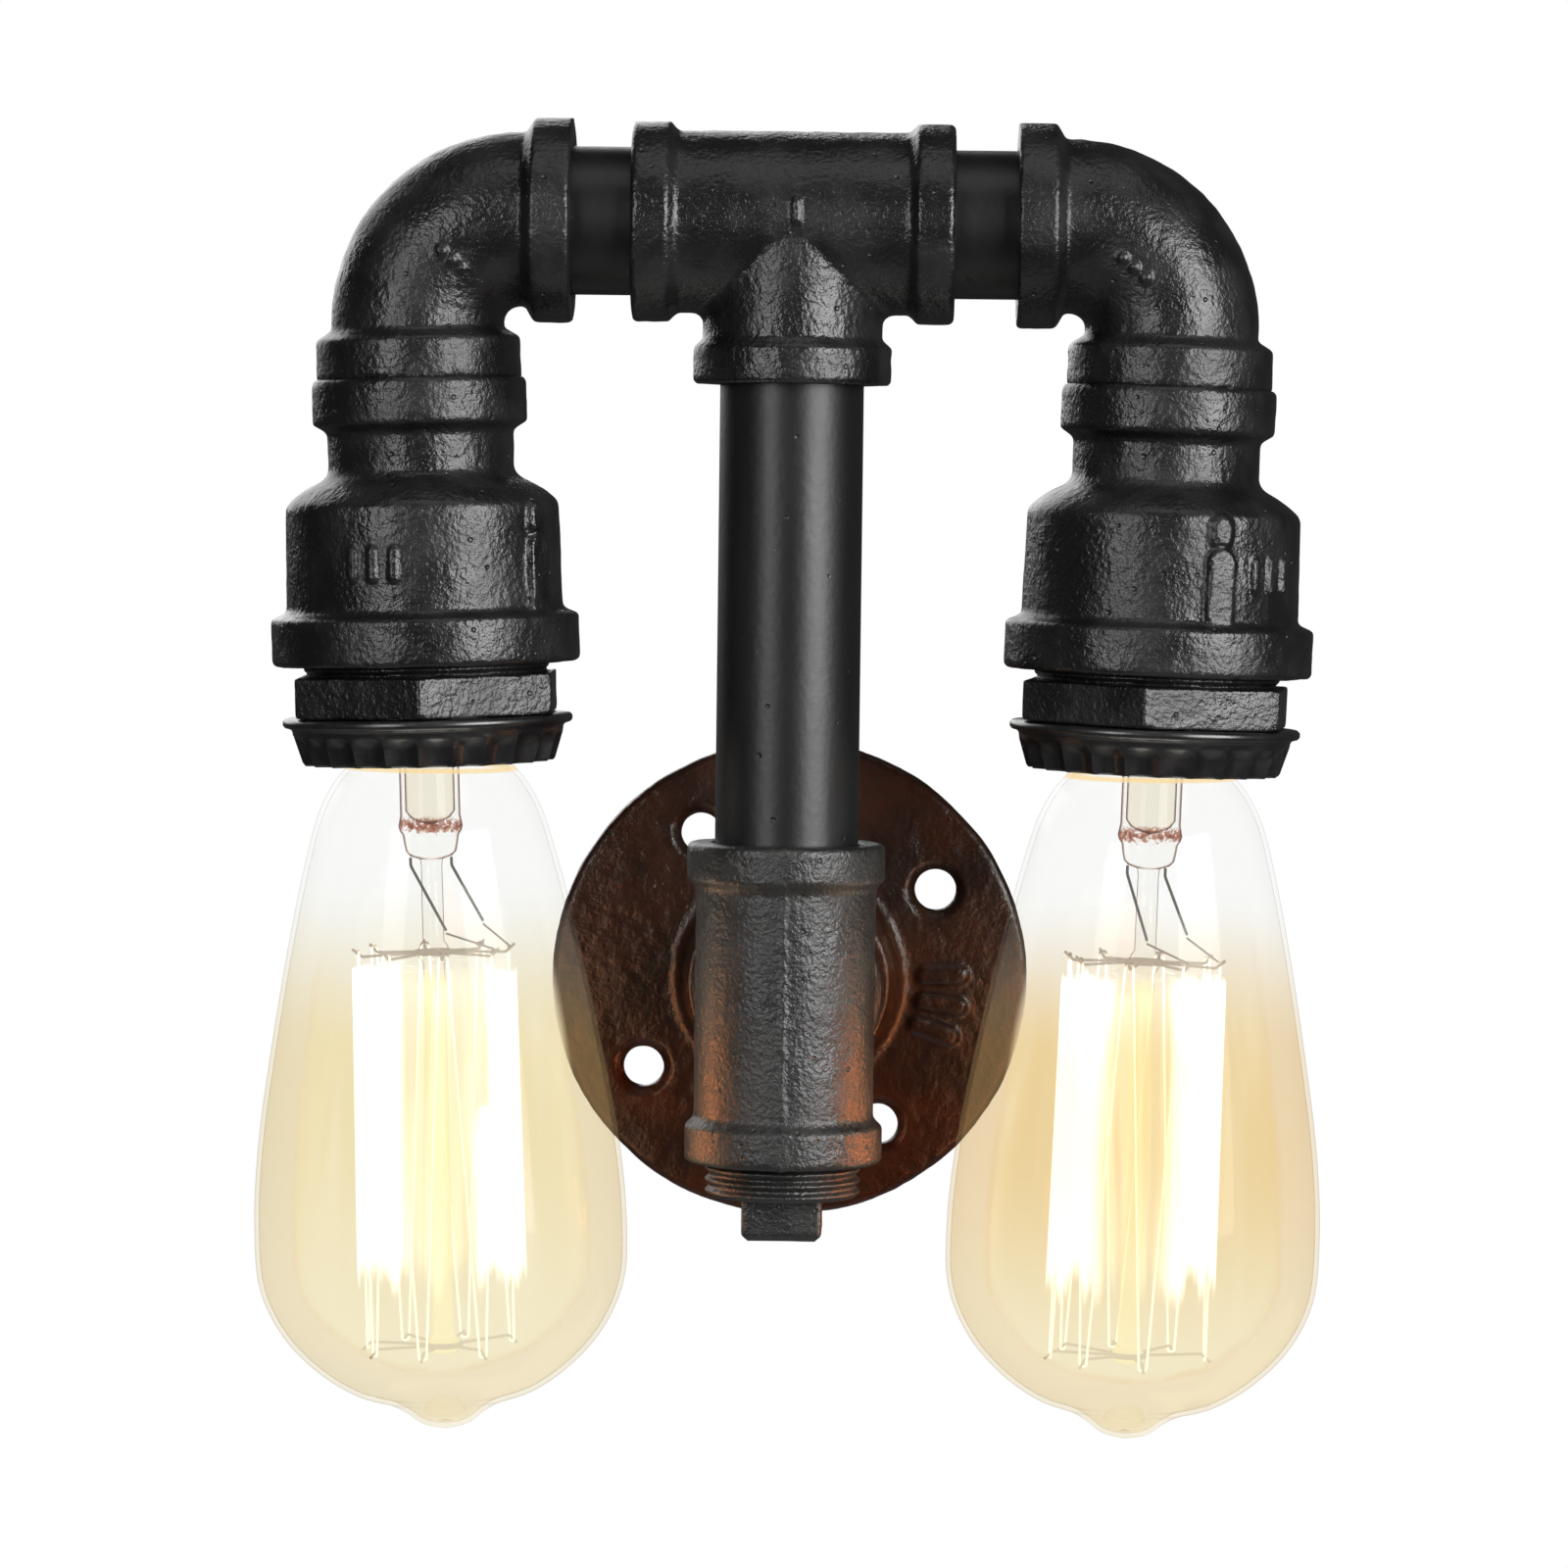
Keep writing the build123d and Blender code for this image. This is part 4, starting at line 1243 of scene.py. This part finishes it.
@dataclass(frozen=True)
class Butt:
    """An end that is screwed up hard against the next fitting."""

    side: Side
    end_mm: float
    push_mm: float
    depth_mm: float = 2.0

    def shift(self, points: np.ndarray) -> np.ndarray:
        """How far the end is drawn along the arm to close the joint.

        Args:
            points: n by 3 places in metres.

        Returns:
            n by 3 moves in metres.
        """
        place = self.side.arm_matrix()
        down = np.array(place.to_3x3() @ Vector((0.0, 0.0, -1.0)))
        distance = (points - np.array(place.translation)) @ down
        near = 1.0 - np.abs(distance - self.end_mm * MM) / (self.depth_mm * MM)
        return np.clip(near, 0.0, 1.0)[:, None] * down * self.push_mm * MM


@dataclass(frozen=True)
class Skin:
    """How finely a casting is modelled, how soft its edges are and how uneven it is."""

    voxel_mm: float = 0.45
    passes: int = 4
    wave_mm: float = 0.10
    grain_mm: float = 0.045


PLATE_SKIN = Skin(voxel_mm=0.5, wave_mm=0.16, grain_mm=0.05)
BUSH_SKIN = Skin(voxel_mm=0.3, passes=2, wave_mm=0.05, grain_mm=0.03)
PLUG_SKIN = Skin(voxel_mm=0.25, passes=2, wave_mm=0.05, grain_mm=0.02)


@dataclass(frozen=True)
class Casting:
    """A cast or machined fitting with softened edges, an uneven skin and its seam."""

    node: str
    body: str
    finish: bpy.types.Material
    skin: Skin = Skin()
    wave_size_mm: float = 6.0
    grain_size_mm: float = 1.5
    seam: Seam | None = None
    pips: tuple[Pip, ...] = ()
    butt: Butt | None = None

    def build(self, nodes: Nodes) -> bpy.types.Object:
        """Make the piece from its CAD solid.

        Args:
            nodes: the CAD nodes by name.

        Returns:
            The piece, which replaces the node.
        """
        piece = new_object(self.node + "_casting", nodes[self.node].data.copy())
        remesh = piece.modifiers.new("remesh", "REMESH")
        remesh.mode = "VOXEL"
        remesh.voxel_size = self.skin.voxel_mm * MM
        soften = piece.modifiers.new("soften", "SMOOTH")
        soften.factor = 0.5
        soften.iterations = self.skin.passes
        bpy.context.view_layer.update()
        made = bpy.data.meshes.new_from_object(
            piece.evaluated_get(bpy.context.evaluated_depsgraph_get())
        )
        piece.modifiers.clear()
        piece.data = made
        self.weather(made)
        for face in made.polygons:
            face.use_smooth = True
        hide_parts(self.node)
        return dressed(piece, self.body, self.finish)

    def weather(self, mesh: bpy.types.Mesh) -> None:
        """Move the skin in and out a little, inside the solid's own box.

        Args:
            mesh: the piece's mesh.
        """
        points = np.empty(len(mesh.vertices) * 3)
        mesh.vertices.foreach_get("co", points)
        points = points.reshape(-1, 3)
        normals = np.empty(len(mesh.vertices) * 3)
        mesh.vertex_normals.foreach_get("vector", normals)
        normals = normals.reshape(-1, 3)
        low, high = (np.array(corner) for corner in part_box(self.node))
        out = lattice(points, self.wave_size_mm, 1) * self.skin.wave_mm * MM
        out += lattice(points, self.grain_size_mm, 2) * self.skin.grain_mm * MM
        if self.seam:
            out += self.seam.rise(points)
        for pip in self.pips:
            out += pip.rise(points)
        points = np.clip(points + normals * out[:, None], low, high)
        if self.butt:
            points += self.butt.shift(points)
        mesh.vertices.foreach_set("co", points.ravel())
        mesh.update()


@dataclass(frozen=True)
class Pipe:
    """A drawn nipple or riser with its bore, between the ends of its CAD solid."""

    node: str
    run: PipeRun
    outer_mm: float = 25.2
    bore_mm: float = 19.4
    bore_round_mm: float = 0.4
    rim_round_mm: float = 0.5
    steps: int = 40

    def build(self, finish: bpy.types.Material) -> bpy.types.Object:
        """Make the piece.

        Args:
            finish: the pipe's finish.

        Returns:
            The piece, which replaces the node.
        """
        low, high = (Vector(corner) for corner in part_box(self.node))
        half = (high - low)[self.run.value] / 2 / MM
        outer, bore = self.outer_mm / 2, self.bore_mm / 2
        radii = [self.bore_round_mm, self.bore_round_mm, self.rim_round_mm]
        profile = rounded([(bore, half), (bore, -half), (outer, -half)], radii)
        profile += [(outer, -half + 2 * half * i / self.steps) for i in range(1, self.steps + 1)]
        profile.append((bore, half))
        shape = lathe(profile, Matrix.Translation((low + high) / 2) @ self.run.matrix(), 128)
        piece = from_bmesh(self.node + "_tube", shape, 50.0)
        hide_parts(self.node)
        return dressed(piece, "frame", finish)


@dataclass(frozen=True)
class ShadeRing:
    """The moulded shade ring: a rim, a cove under it and shallow flutes."""

    side: Side
    flutes: int = 24
    steps_per_flute: int = 12
    flute_mm: float = 1.5
    flute_top_mm: float = -87.6
    flute_fade_mm: float = 1.2
    skirt_mm: float = 20.0

    def build(self, finish: bpy.types.Material) -> bpy.types.Object:
        """Make the ring.

        Args:
            finish: the moulding's finish.

        Returns:
            The piece, which replaces its node.
        """
        rim = [(17.3, -84.7), (24.35, -84.7), (24.75, -85.1), (24.75, -85.8), (24.4, -86.2)]
        cove = [(23.75, -86.35), (23.35, -86.6), (23.15, -87.0), (23.1, -87.5)]
        wall = [(23.05 - 0.27 * i, -87.9 - 0.85 * i) for i in range(6)]
        foot = [(21.65, -92.3), (21.3, -92.7), (17.9, -92.7), (17.3, -92.1)]
        steps = self.flutes * self.steps_per_flute
        shape = lathe(rim + cove + wall + foot, self.side.arm_matrix(), steps, self.flute)
        piece = from_bmesh(f"{self.side.value}_ring", shape, 55.0)
        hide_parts(f"{self.side.value}_shade_ring")
        return dressed(piece, f"{self.side.value}_arm", finish)

    def flute(self, angle: float, r: float, z: float) -> float:
        """Depth of the flutes at a point of the ring.

        Args:
            angle: angle round the axis, in radians.
            r: radius in millimetres.
            z: height in millimetres.

        Returns:
            The change of radius in millimetres.
        """
        if r < self.skirt_mm or z > self.flute_top_mm:
            return 0.0
        fade = min(1.0, (self.flute_top_mm - z) / self.flute_fade_mm)
        return -self.flute_mm * fade * abs(math.sin(self.flutes * angle / 2.0))


# ---- sub-assemblies -----------------------------------------------------------------------


@dataclass
class SubAssembly:
    """A group of pieces that are made and dressed together."""

    nodes: Nodes
    paint: PaintShop

    def build(self) -> list[bpy.types.Object]:
        """Make the group's own pieces; a group of CAD nodes alone makes none."""
        return []

    def dress(self) -> None:
        """Give the CAD nodes that stay in sight their finishes."""


@dataclass
class WallMount(SubAssembly):
    """The wall flange, its nipple, the lower tee and the plug under that."""

    seam_mm: float = 0.42
    seam_width_mm: float = 0.5
    bar_turns: tuple[float, ...] = (2.0, -8.5, -19.0)
    bar_span_mm: Span = (24.5, 30.5)
    bar_radius_mm: float = 1.6
    bar_height_mm: float = 1.1
    plate_mm: float = 4.5

    def build(self) -> list[bpy.types.Object]:
        """Make the pieces.

        Returns:
            The pieces.
        """
        middle = Vector((0.0, PIPE_Y, RUN_Z))
        seam = Seam(middle, Vector((1.0, 0.0, 0.0)), self.seam_mm, self.seam_width_mm)
        castings = (
            Casting("wall_flange", "frame", self.paint.plate, PLATE_SKIN, pips=self.bars()),
            Casting("lower_tee", "frame", self.paint.tee, seam=seam),
            Casting("bottom_plug", "frame", self.paint.tee, PLUG_SKIN),
        )
        pieces = [casting.build(self.nodes) for casting in castings]
        pieces.append(Pipe("back_nipple", PipeRun.FORWARD).build(self.paint.pipe))
        return pieces

    def bars(self) -> tuple[Pip, ...]:
        """Plain raised bars on the flange, to the right of the hub.

        Returns:
            The bars.
        """
        bars = []
        for turn in self.bar_turns:
            a = math.radians(turn)
            near, far = (
                Vector((r * MM * math.cos(a), -self.plate_mm * MM, r * MM * math.sin(a)))
                for r in self.bar_span_mm
            )
            bars.append(Pip(near, far, self.bar_radius_mm, self.bar_height_mm))
        return tuple(bars)


@dataclass
class TopRun(SubAssembly):
    """The riser, the top tee and the nipples on both its sides."""

    riser_mm: float = 24.5
    riser_bore_mm: float = 19.3
    bar_x_mm: float = 0.6
    bar_front_mm: float = 15.4
    bar_tops_mm: tuple[float, float] = (3.2, 6.0)
    bar_height_mm: float = 0.7

    def build(self) -> list[bpy.types.Object]:
        """Make the pieces.

        Returns:
            The pieces.
        """
        seam = Seam(Vector((0.0, PIPE_Y, RUN_Z)), Vector((0.0, 1.0, 0.0)))
        tee = Casting("top_tee", "frame", self.paint.iron, seam=seam, pips=self.bars())
        pipes = [Pipe("riser_pipe", PipeRun.UPRIGHT, self.riser_mm, self.riser_bore_mm)]
        pipes += [Pipe(f"{side.value}_run_nipple", PipeRun.ACROSS) for side in Side]
        return [tee.build(self.nodes), *(pipe.build(self.paint.pipe) for pipe in pipes)]

    def bars(self) -> tuple[Pip, ...]:
        """A short bar cast on the front of the top tee, with a dot over it.

        Returns:
            The bar and the dot.
        """
        foot, top, tip = (
            Vector((self.bar_x_mm * MM, PIPE_Y - self.bar_front_mm * MM, RUN_Z + up * MM))
            for up in (0.0, *self.bar_tops_mm)
        )
        bar = Pip(foot, top, radius_mm=0.8, height_mm=self.bar_height_mm)
        return (bar, Pip(tip, tip, radius_mm=1.0, height_mm=self.bar_height_mm))


@dataclass
class Arm(SubAssembly):
    """One arm: elbow, reducing coupling, hexagon bush, lampholder and shade ring."""

    side: Side
    elbow_end_mm: float = 27.0
    reducer_top_mm: float = 27.5
    close_mm: float = 0.4
    dot_out_mm: float = 7.6
    dot_step_mm: Point = (1.9, 1.6)
    dot_down_mm: float = 7.4
    dot_front_mm: float = 14.7
    bar_ring_mm: float = 23.5
    bar_span_mm: Span = (56.2, 60.6)
    bar_step: float = 9.0
    rib_ring_mm: float = 22.9
    rib_span_mm: Span = (50.4, 52.2)

    @property
    def name(self) -> str:
        """The start of the arm's node names."""
        return self.side.value

    @property
    def bar_turn(self) -> float:
        """Where the reducer's middle bar stands, in degrees round the arm."""
        return -107.0 if self.side is Side.LEFT else 138.0

    @property
    def rib_turn(self) -> float:
        """Where the reducer's front rib stands, in degrees round the arm."""
        return -32.0 if self.side is Side.LEFT else 112.0

    def build(self) -> list[bpy.types.Object]:
        """Make the pieces.

        Returns:
            The pieces.
        """
        body, iron = f"{self.name}_arm", self.paint.iron
        seam = Seam(Vector((0.0, PIPE_Y, RUN_Z)), Vector((0.0, 1.0, 0.0)))
        end = Butt(self.side, self.elbow_end_mm, self.close_mm)
        top = Butt(self.side, self.reducer_top_mm, -self.close_mm)
        bars = (*self.bars(), self.rib())
        castings = (
            Casting(f"{self.name}_elbow", body, iron, seam=seam, pips=self.dots(), butt=end),
            Casting(f"{self.name}_reducer", body, iron, pips=bars, butt=top),
            Casting(f"{self.name}_hex_bush", body, iron, BUSH_SKIN),
        )
        pieces = [casting.build(self.nodes) for casting in castings]
        pieces.append(ShadeRing(self.side).build(self.paint.moulding))
        return pieces

    def dots(self) -> tuple[Pip, ...]:
        """A row of three dots cast on the front of the elbow.

        Returns:
            The dots.
        """
        dots = []
        for step in (-1.0, 0.0, 1.0):
            out = self.dot_out_mm - self.dot_step_mm[0] * step * self.side.sign
            x = self.side.sign * (self.side.elbow_x - out * MM)
            z = RUN_Z - (self.dot_down_mm + self.dot_step_mm[1] * step) * MM
            spot = Vector((x, PIPE_Y - self.dot_front_mm * MM, z))
            dots.append(Pip(spot, spot, radius_mm=1.0, height_mm=0.75))
        return tuple(dots)

    def bars(self) -> tuple[Pip, ...]:
        """Three upright bars cast on the reducing coupling.

        Returns:
            The bars.
        """
        turns = (self.bar_turn + self.bar_step * step for step in (-1.0, 0.0, 1.0))
        lines = [self.upright(self.bar_ring_mm, turn, self.bar_span_mm) for turn in turns]
        return tuple(Pip(*line, radius_mm=0.8, height_mm=0.65) for line in lines)

    def rib(self) -> Pip:
        """The run-out of the reducer's front rib."""
        line = self.upright(self.rib_ring_mm, self.rib_turn, self.rib_span_mm)
        return Pip(*line, radius_mm=1.9, height_mm=1.1)

    def upright(self, radius_mm: float, turn: float, span_mm: Span) -> tuple[Vector, Vector]:
        """The ends of an upright line on the arm's side.

        Args:
            radius_mm: distance from the arm's axis.
            turn: degrees round the arm.
            span_mm: how far down the arm it starts and ends.

        Returns:
            Its top and foot.
        """
        a, place = math.radians(turn), self.side.arm_matrix()
        top, foot = (
            place @ (Vector((radius_mm * math.cos(a), radius_mm * math.sin(a), -down)) * MM)
            for down in span_mm
        )
        return top, foot

    def dress(self) -> None:
        """Dress the close nipple and the lampholder's parts."""
        repaint(self.nodes[f"{self.name}_close_nipple"], self.paint.pipe)
        repaint(self.nodes[f"{self.name}_holder_body"], self.paint.moulding)
        for part in ("screw_shell", "centre_contact", "terminals"):
            repaint(self.nodes[f"{self.name}_{part}"], self.paint.brass)


@dataclass
class Bulb(SubAssembly):
    """One filament bulb: envelope, stem, glowing strands and the parts carried over."""

    side: Side
    wall_mm: float = 0.8
    neck: tuple[Point, ...] = ((11.7, -74.0), (11.72, -80.0), (11.72, -85.0))
    pear: tuple[Point, ...] = (
        (11.75, -88.0), (13.5, -92.2), (16.6, -96.2), (19.1, -101.0), (21.2, -108.0),
        (24.4, -121.5), (28.3, -141.5), (30.95, -158.0), (31.94, -172.0), (31.25, -182.5),
        (27.6, -190.5), (21.8, -196.8), (15.6, -200.9), (10.4, -202.6), (8.6, -203.4),
        (6.6, -204.6), (4.2, -206.4), (0.0, -207.5),
    )
    tip_mm: float = 1.0
    tip_share: float = 2.2
    stem_mm: float = 5.15
    stem_bore_mm: float = 4.25
    rod_mm: float = 1.85
    bead_mm: float = 2.7

    @property
    def name(self) -> str:
        """The start of the bulb's node names."""
        return self.side.value

    @property
    def body(self) -> str:
        """The body that the bulb rides on."""
        return f"{self.name}_bulb"

    def build(self) -> list[bpy.types.Object]:
        """Make the bulb's own pieces.

        Returns:
            The pieces.
        """
        return [self.build_envelope(), self.build_stem(), self.build_strands()]

    def build_envelope(self) -> bpy.types.Object:
        """Make the glass envelope, two walls closed at the neck.

        Returns:
            The piece, which replaces its node.
        """
        outer = [*self.neck, *through(self.pear)]
        befores, afters = [outer[0], *outer], [*outer[1:], outer[-1]]
        inner: list[Point] = []
        for before, (r, z), after in zip(befores, outer, afters):
            along = Vector((after[0] - before[0], after[1] - before[1])).normalized()
            inner.append((r + along.y * self.wall_mm, z - along.x * self.wall_mm))
        inner = [point for point in inner if point[0] > self.tip_mm]
        inner.append((0.0, outer[-1][1] + self.tip_share * self.wall_mm))
        shape = lathe(outer + inner[::-1], self.side.bulb_matrix(), 144)
        piece = from_bmesh(f"{self.name}_envelope", shape, 60.0)
        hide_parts(f"{self.name}_bulb_glass")
        return dressed(piece, self.body, self.paint.glass[self.side])

    def build_stem(self) -> bpy.types.Object:
        """Make the flared stem tube with its pinch and the centre rod with its beads.

        Returns:
            The piece, which replaces its node.
        """
        tube, bore, rod, bead = self.stem_mm, self.stem_bore_mm, self.rod_mm, self.bead_mm
        flare = [(10.7, -78.0), (10.7, -78.9), (8.3, -80.2), (6.6, -82.0), (5.6, -83.8)]
        straight = [(tube, -86.0), (tube, -96.0), (tube, -101.8)]
        pinch = [(5.35, -102.8), (5.5, -103.6), (5.3, -104.4), (4.8, -105.2), (4.6, -106.6)]
        pinch += [(4.3, -108.0), (3.6, -108.75), (1.95, -109.3), (1.8, -110.5)]
        top_bead = [(rod, -116.0), (rod, -123.4), (2.4, -124.1), (bead, -125.0)]
        top_bead += [(bead, -125.8), (2.3, -126.6), (rod, -127.2)]
        foot_bead = [(rod, -150.0), (rod, -191.0), (2.3, -191.6), (bead, -192.4)]
        foot_bead += [(bead, -193.4), (2.2, -194.2), (1.0, -194.6), (0.0, -194.65)]
        inside = [(0.0, -103.4), (1.8, -103.0), (3.4, -102.2), (bore, -101.0), (bore, -86.2)]
        inside += [(4.75, -84.0), (6.2, -81.6), (7.9, -78.9), (9.3, -78.0)]
        profile = flare + straight + pinch + top_bead + foot_bead + inside
        shape = lathe(profile, self.side.bulb_matrix(), 72)
        piece = from_bmesh(f"{self.name}_stem", shape, 60.0)
        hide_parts(f"{self.name}_bulb_stem")
        return dressed(piece, self.body, self.paint.stem)

    def build_strands(self) -> bpy.types.Object:
        """Make the light of the cage of strands, one closed sleeve round the strands.

        Returns:
            The piece.
        """
        sleeve = [(0.0, -127.6), (13.9, -127.6), (14.05, -128.2), (14.2, -145.0)]
        sleeve += [(14.4, -165.0), (14.6, -188.0), (14.4, -189.0), (0.0, -189.0)]
        shape = lathe(sleeve, self.side.bulb_matrix(), 96)
        piece = from_bmesh(f"{self.name}_strand_light", shape, 60.0)
        return dressed(piece, self.body, self.paint.strands[self.side])

    def dress(self) -> None:
        """Dress the cap, its insulator and contact, and the wires inside the glass."""
        finishes = {
            "bulb_cap": self.paint.cap,
            "cap_insulator": self.paint.moulding,
            "cap_contact": self.paint.solder,
            "upper_hooks": self.paint.hooks,
            "lower_hooks": self.paint.hooks,
            "lead_wires": self.paint.leads,
            "filament": self.paint.filament,
        }
        for part, finish in finishes.items():
            repaint(self.nodes[f"{self.name}_{part}"], finish)


@dataclass
class Wiring(SubAssembly):
    """The cables inside the pipes and their stripped cores."""

    def dress(self) -> None:
        """Dress the sheaths and the cores."""
        for side in Side:
            for run in ("feed", "arm"):
                repaint(self.nodes[f"{side.value}_{run}_cable"], self.paint.sheath)
                repaint(self.nodes[f"{side.value}_{run}_cores"], self.paint.cores)


# ---- studio -------------------------------------------------------------------------------


def looking_in(azimuth: float, elevation: float, distance: float, aim: Vector) -> Matrix:
    """Where a camera or lamp stands that faces a point from outside.

    Args:
        azimuth: degrees round the fitting, 0 in front and positive to the right.
        elevation: degrees above the level of the point.
        distance: metres from the point.
        aim: the point.

    Returns:
        The matrix of the camera or lamp.
    """
    a, e = math.radians(azimuth), math.radians(elevation)
    away = Vector((math.sin(a) * math.cos(e), -math.cos(a) * math.cos(e), math.sin(e)))
    turn = (-away).to_track_quat("-Z", "Y").to_matrix().to_4x4()
    return Matrix.Translation(aim + away * distance) @ turn


@dataclass(frozen=True)
class Camera:
    """The photograph's viewpoint."""

    aim: tuple[float, float, float] = (-0.55 * MM, PIPE_Y, 37.4 * MM)
    distance: float = 1.03
    azimuth: float = 1.0
    elevation: float = 3.0
    roll: float = 0.7
    lens: float = 138.3
    sensor: float = 36.0
    nearest: float = 0.01

    def build(self) -> None:
        """Place the camera and make it the scene's own."""
        data = bpy.data.cameras.new("studio_camera")
        data.lens = self.lens
        data.sensor_width = self.sensor
        data.clip_start = self.nearest
        camera = bpy.data.objects.new("studio_camera", data)
        stand = looking_in(self.azimuth, self.elevation, self.distance, Vector(self.aim))
        camera.matrix_world = stand @ Matrix.Rotation(math.radians(self.roll), 4, "Z")
        bpy.context.scene.collection.objects.link(camera)
        bpy.context.scene.camera = camera


@dataclass(frozen=True)
class Softbox:
    """A tall soft panel of light aimed at the fitting."""

    name: str
    azimuth: float
    elevation: float
    distance: float
    width: float
    height: float
    watts: float
    aim: tuple[float, float, float] = (0.0, PIPE_Y, 30.0 * MM)

    def build(self) -> None:
        """Place the light."""
        data = bpy.data.lights.new(self.name, "AREA")
        data.shape = "RECTANGLE"
        data.size = self.width
        data.size_y = self.height
        data.energy = self.watts
        lamp = bpy.data.objects.new(self.name, data)
        aim = Vector(self.aim)
        lamp.matrix_world = looking_in(self.azimuth, self.elevation, self.distance, aim)
        bpy.context.scene.collection.objects.link(lamp)


@dataclass(frozen=True)
class FilamentLamp:
    """A warm lamp in a bulb's axis, which lights the fittings next to it."""

    down: float
    back: float
    watts: float
    colour: Colour = (1.0, 0.2, 0.012)
    radius: float = 18.0 * MM
    cone: float = 120.0
    blend: float = 0.7

    def build(self, side: Side, carrier: bpy.types.Object, share: float) -> None:
        """Hang the lamp in a bulb.

        Args:
            side: which bulb.
            carrier: the body that the bulb is.
            share: how much brighter than usual.
        """
        data = bpy.data.lights.new(f"{side.value}_filament_light", "SPOT")
        data.energy = self.watts * share
        data.color = self.colour
        data.shadow_soft_size = self.radius
        data.spot_size = math.radians(self.cone)
        data.spot_blend = self.blend
        lamp = bpy.data.objects.new(data.name, data)
        inward = Vector((-side.sign, self.back, 0.0)).to_track_quat("-Z", "Y").to_matrix()
        place = side.bulb_matrix() @ Vector((0.0, 0.0, -self.down))
        lamp.matrix_world = Matrix.Translation(place) @ inward.to_4x4()
        lamp.visible_camera = False
        bpy.context.scene.collection.objects.link(lamp)
        lamp.parent = carrier
        lamp.matrix_parent_inverse = carrier.matrix_world.inverted()


@dataclass(frozen=True)
class Studio:
    """White surroundings, a pale floor, soft panels and the warm light of the bulbs."""

    panels: tuple[Softbox, ...] = (
        Softbox("left_panel", -32.0, 12.0, distance=1.3, width=0.44, height=0.85, watts=6.4),
        Softbox("right_panel", 46.0, 12.0, distance=1.3, width=0.8, height=0.85, watts=21.5),
        Softbox("top_panel", 10.0, 72.0, distance=1.4, width=1.2, height=0.8, watts=2.6),
        Softbox("back_panel", 205.0, 22.0, distance=1.3, width=1.1, height=0.8, watts=6.0),
    )
    lamps: tuple[FilamentLamp, ...] = (
        FilamentLamp(146.0 * MM, back=1.0, watts=0.22),
        FilamentLamp(160.0 * MM, back=0.1, watts=0.42),
        FilamentLamp(174.0 * MM, back=1.0, watts=0.22),
    )
    right_share: float = 1.7
    white: Colour = (1.0, 1.0, 1.0)
    dim: float = 0.05
    floor_half: float = 1.7
    floor_z: float = -1.7
    floor_glow: float = 0.96

    def build(self, bodies: Nodes) -> None:
        """Make the surroundings.

        Args:
            bodies: the CAD bodies by name.
        """
        bpy.context.scene.view_settings.view_transform = "Standard"
        bpy.context.scene.world = self.build_world()
        self.build_floor()
        for panel in self.panels:
            panel.build()
        for side in Side:
            share = 1.0 if side is Side.LEFT else self.right_share
            for lamp in self.lamps:
                lamp.build(side, bodies[f"{side.value}_bulb"], share)

    def build_world(self) -> bpy.types.World:
        """White behind the fitting, dim grey for what it reflects.

        Returns:
            The world.
        """
        g = Graph(bpy.data.worlds.new("studio"), "ShaderNodeOutputWorld")
        dim, seen = (
            g.node("ShaderNodeBackground", None, {"Color": self.white, "Strength": strength})
            for strength in (self.dim, 1.0)
        )
        return g.finish(g.mix(g.looked_at(), dim.outputs[0], seen.outputs[0]))

    def build_floor(self) -> None:
        """A pale floor well under the bulbs."""
        g = Graph(bpy.data.materials.new("studio_floor"))
        mottle = g.grain(400.0)
        colour = g.blend(mottle, (0.86, 0.86, 0.86), (0.9, 0.9, 0.9))
        matt = g.surface(Base_Color=colour, Roughness=0.8)
        finish = g.finish(g.mix(g.looked_at() * self.floor_glow, matt, g.light(self.white)))
        shape = bmesh.new()
        half = self.floor_half
        corners = [(-half, -half), (half, -half), (half, half), (-half, half)]
        shape.faces.new([shape.verts.new((x, y, self.floor_z)) for x, y in corners])
        floor = from_bmesh("studio_floor", shape, 40.0)
        floor.data.materials.append(finish)


def main() -> None:
    """Build the fitting and its surroundings."""
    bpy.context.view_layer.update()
    nodes, paint = frame["nodes"], PaintShop()
    Camera().build()
    groups = [WallMount(nodes, paint), TopRun(nodes, paint)]
    groups += [Arm(nodes, paint, side) for side in Side]
    groups += [Bulb(nodes, paint, side) for side in Side]
    groups.append(Wiring(nodes, paint))
    for group in groups:
        for piece in group.build():
            log.info("%s: %d faces", piece.name, len(piece.data.polygons))
        group.dress()
    Studio().build(frame["bodies"])


if __name__ == "__main__":
    logging.basicConfig(level=logging.INFO, format="%(message)s")
    main()
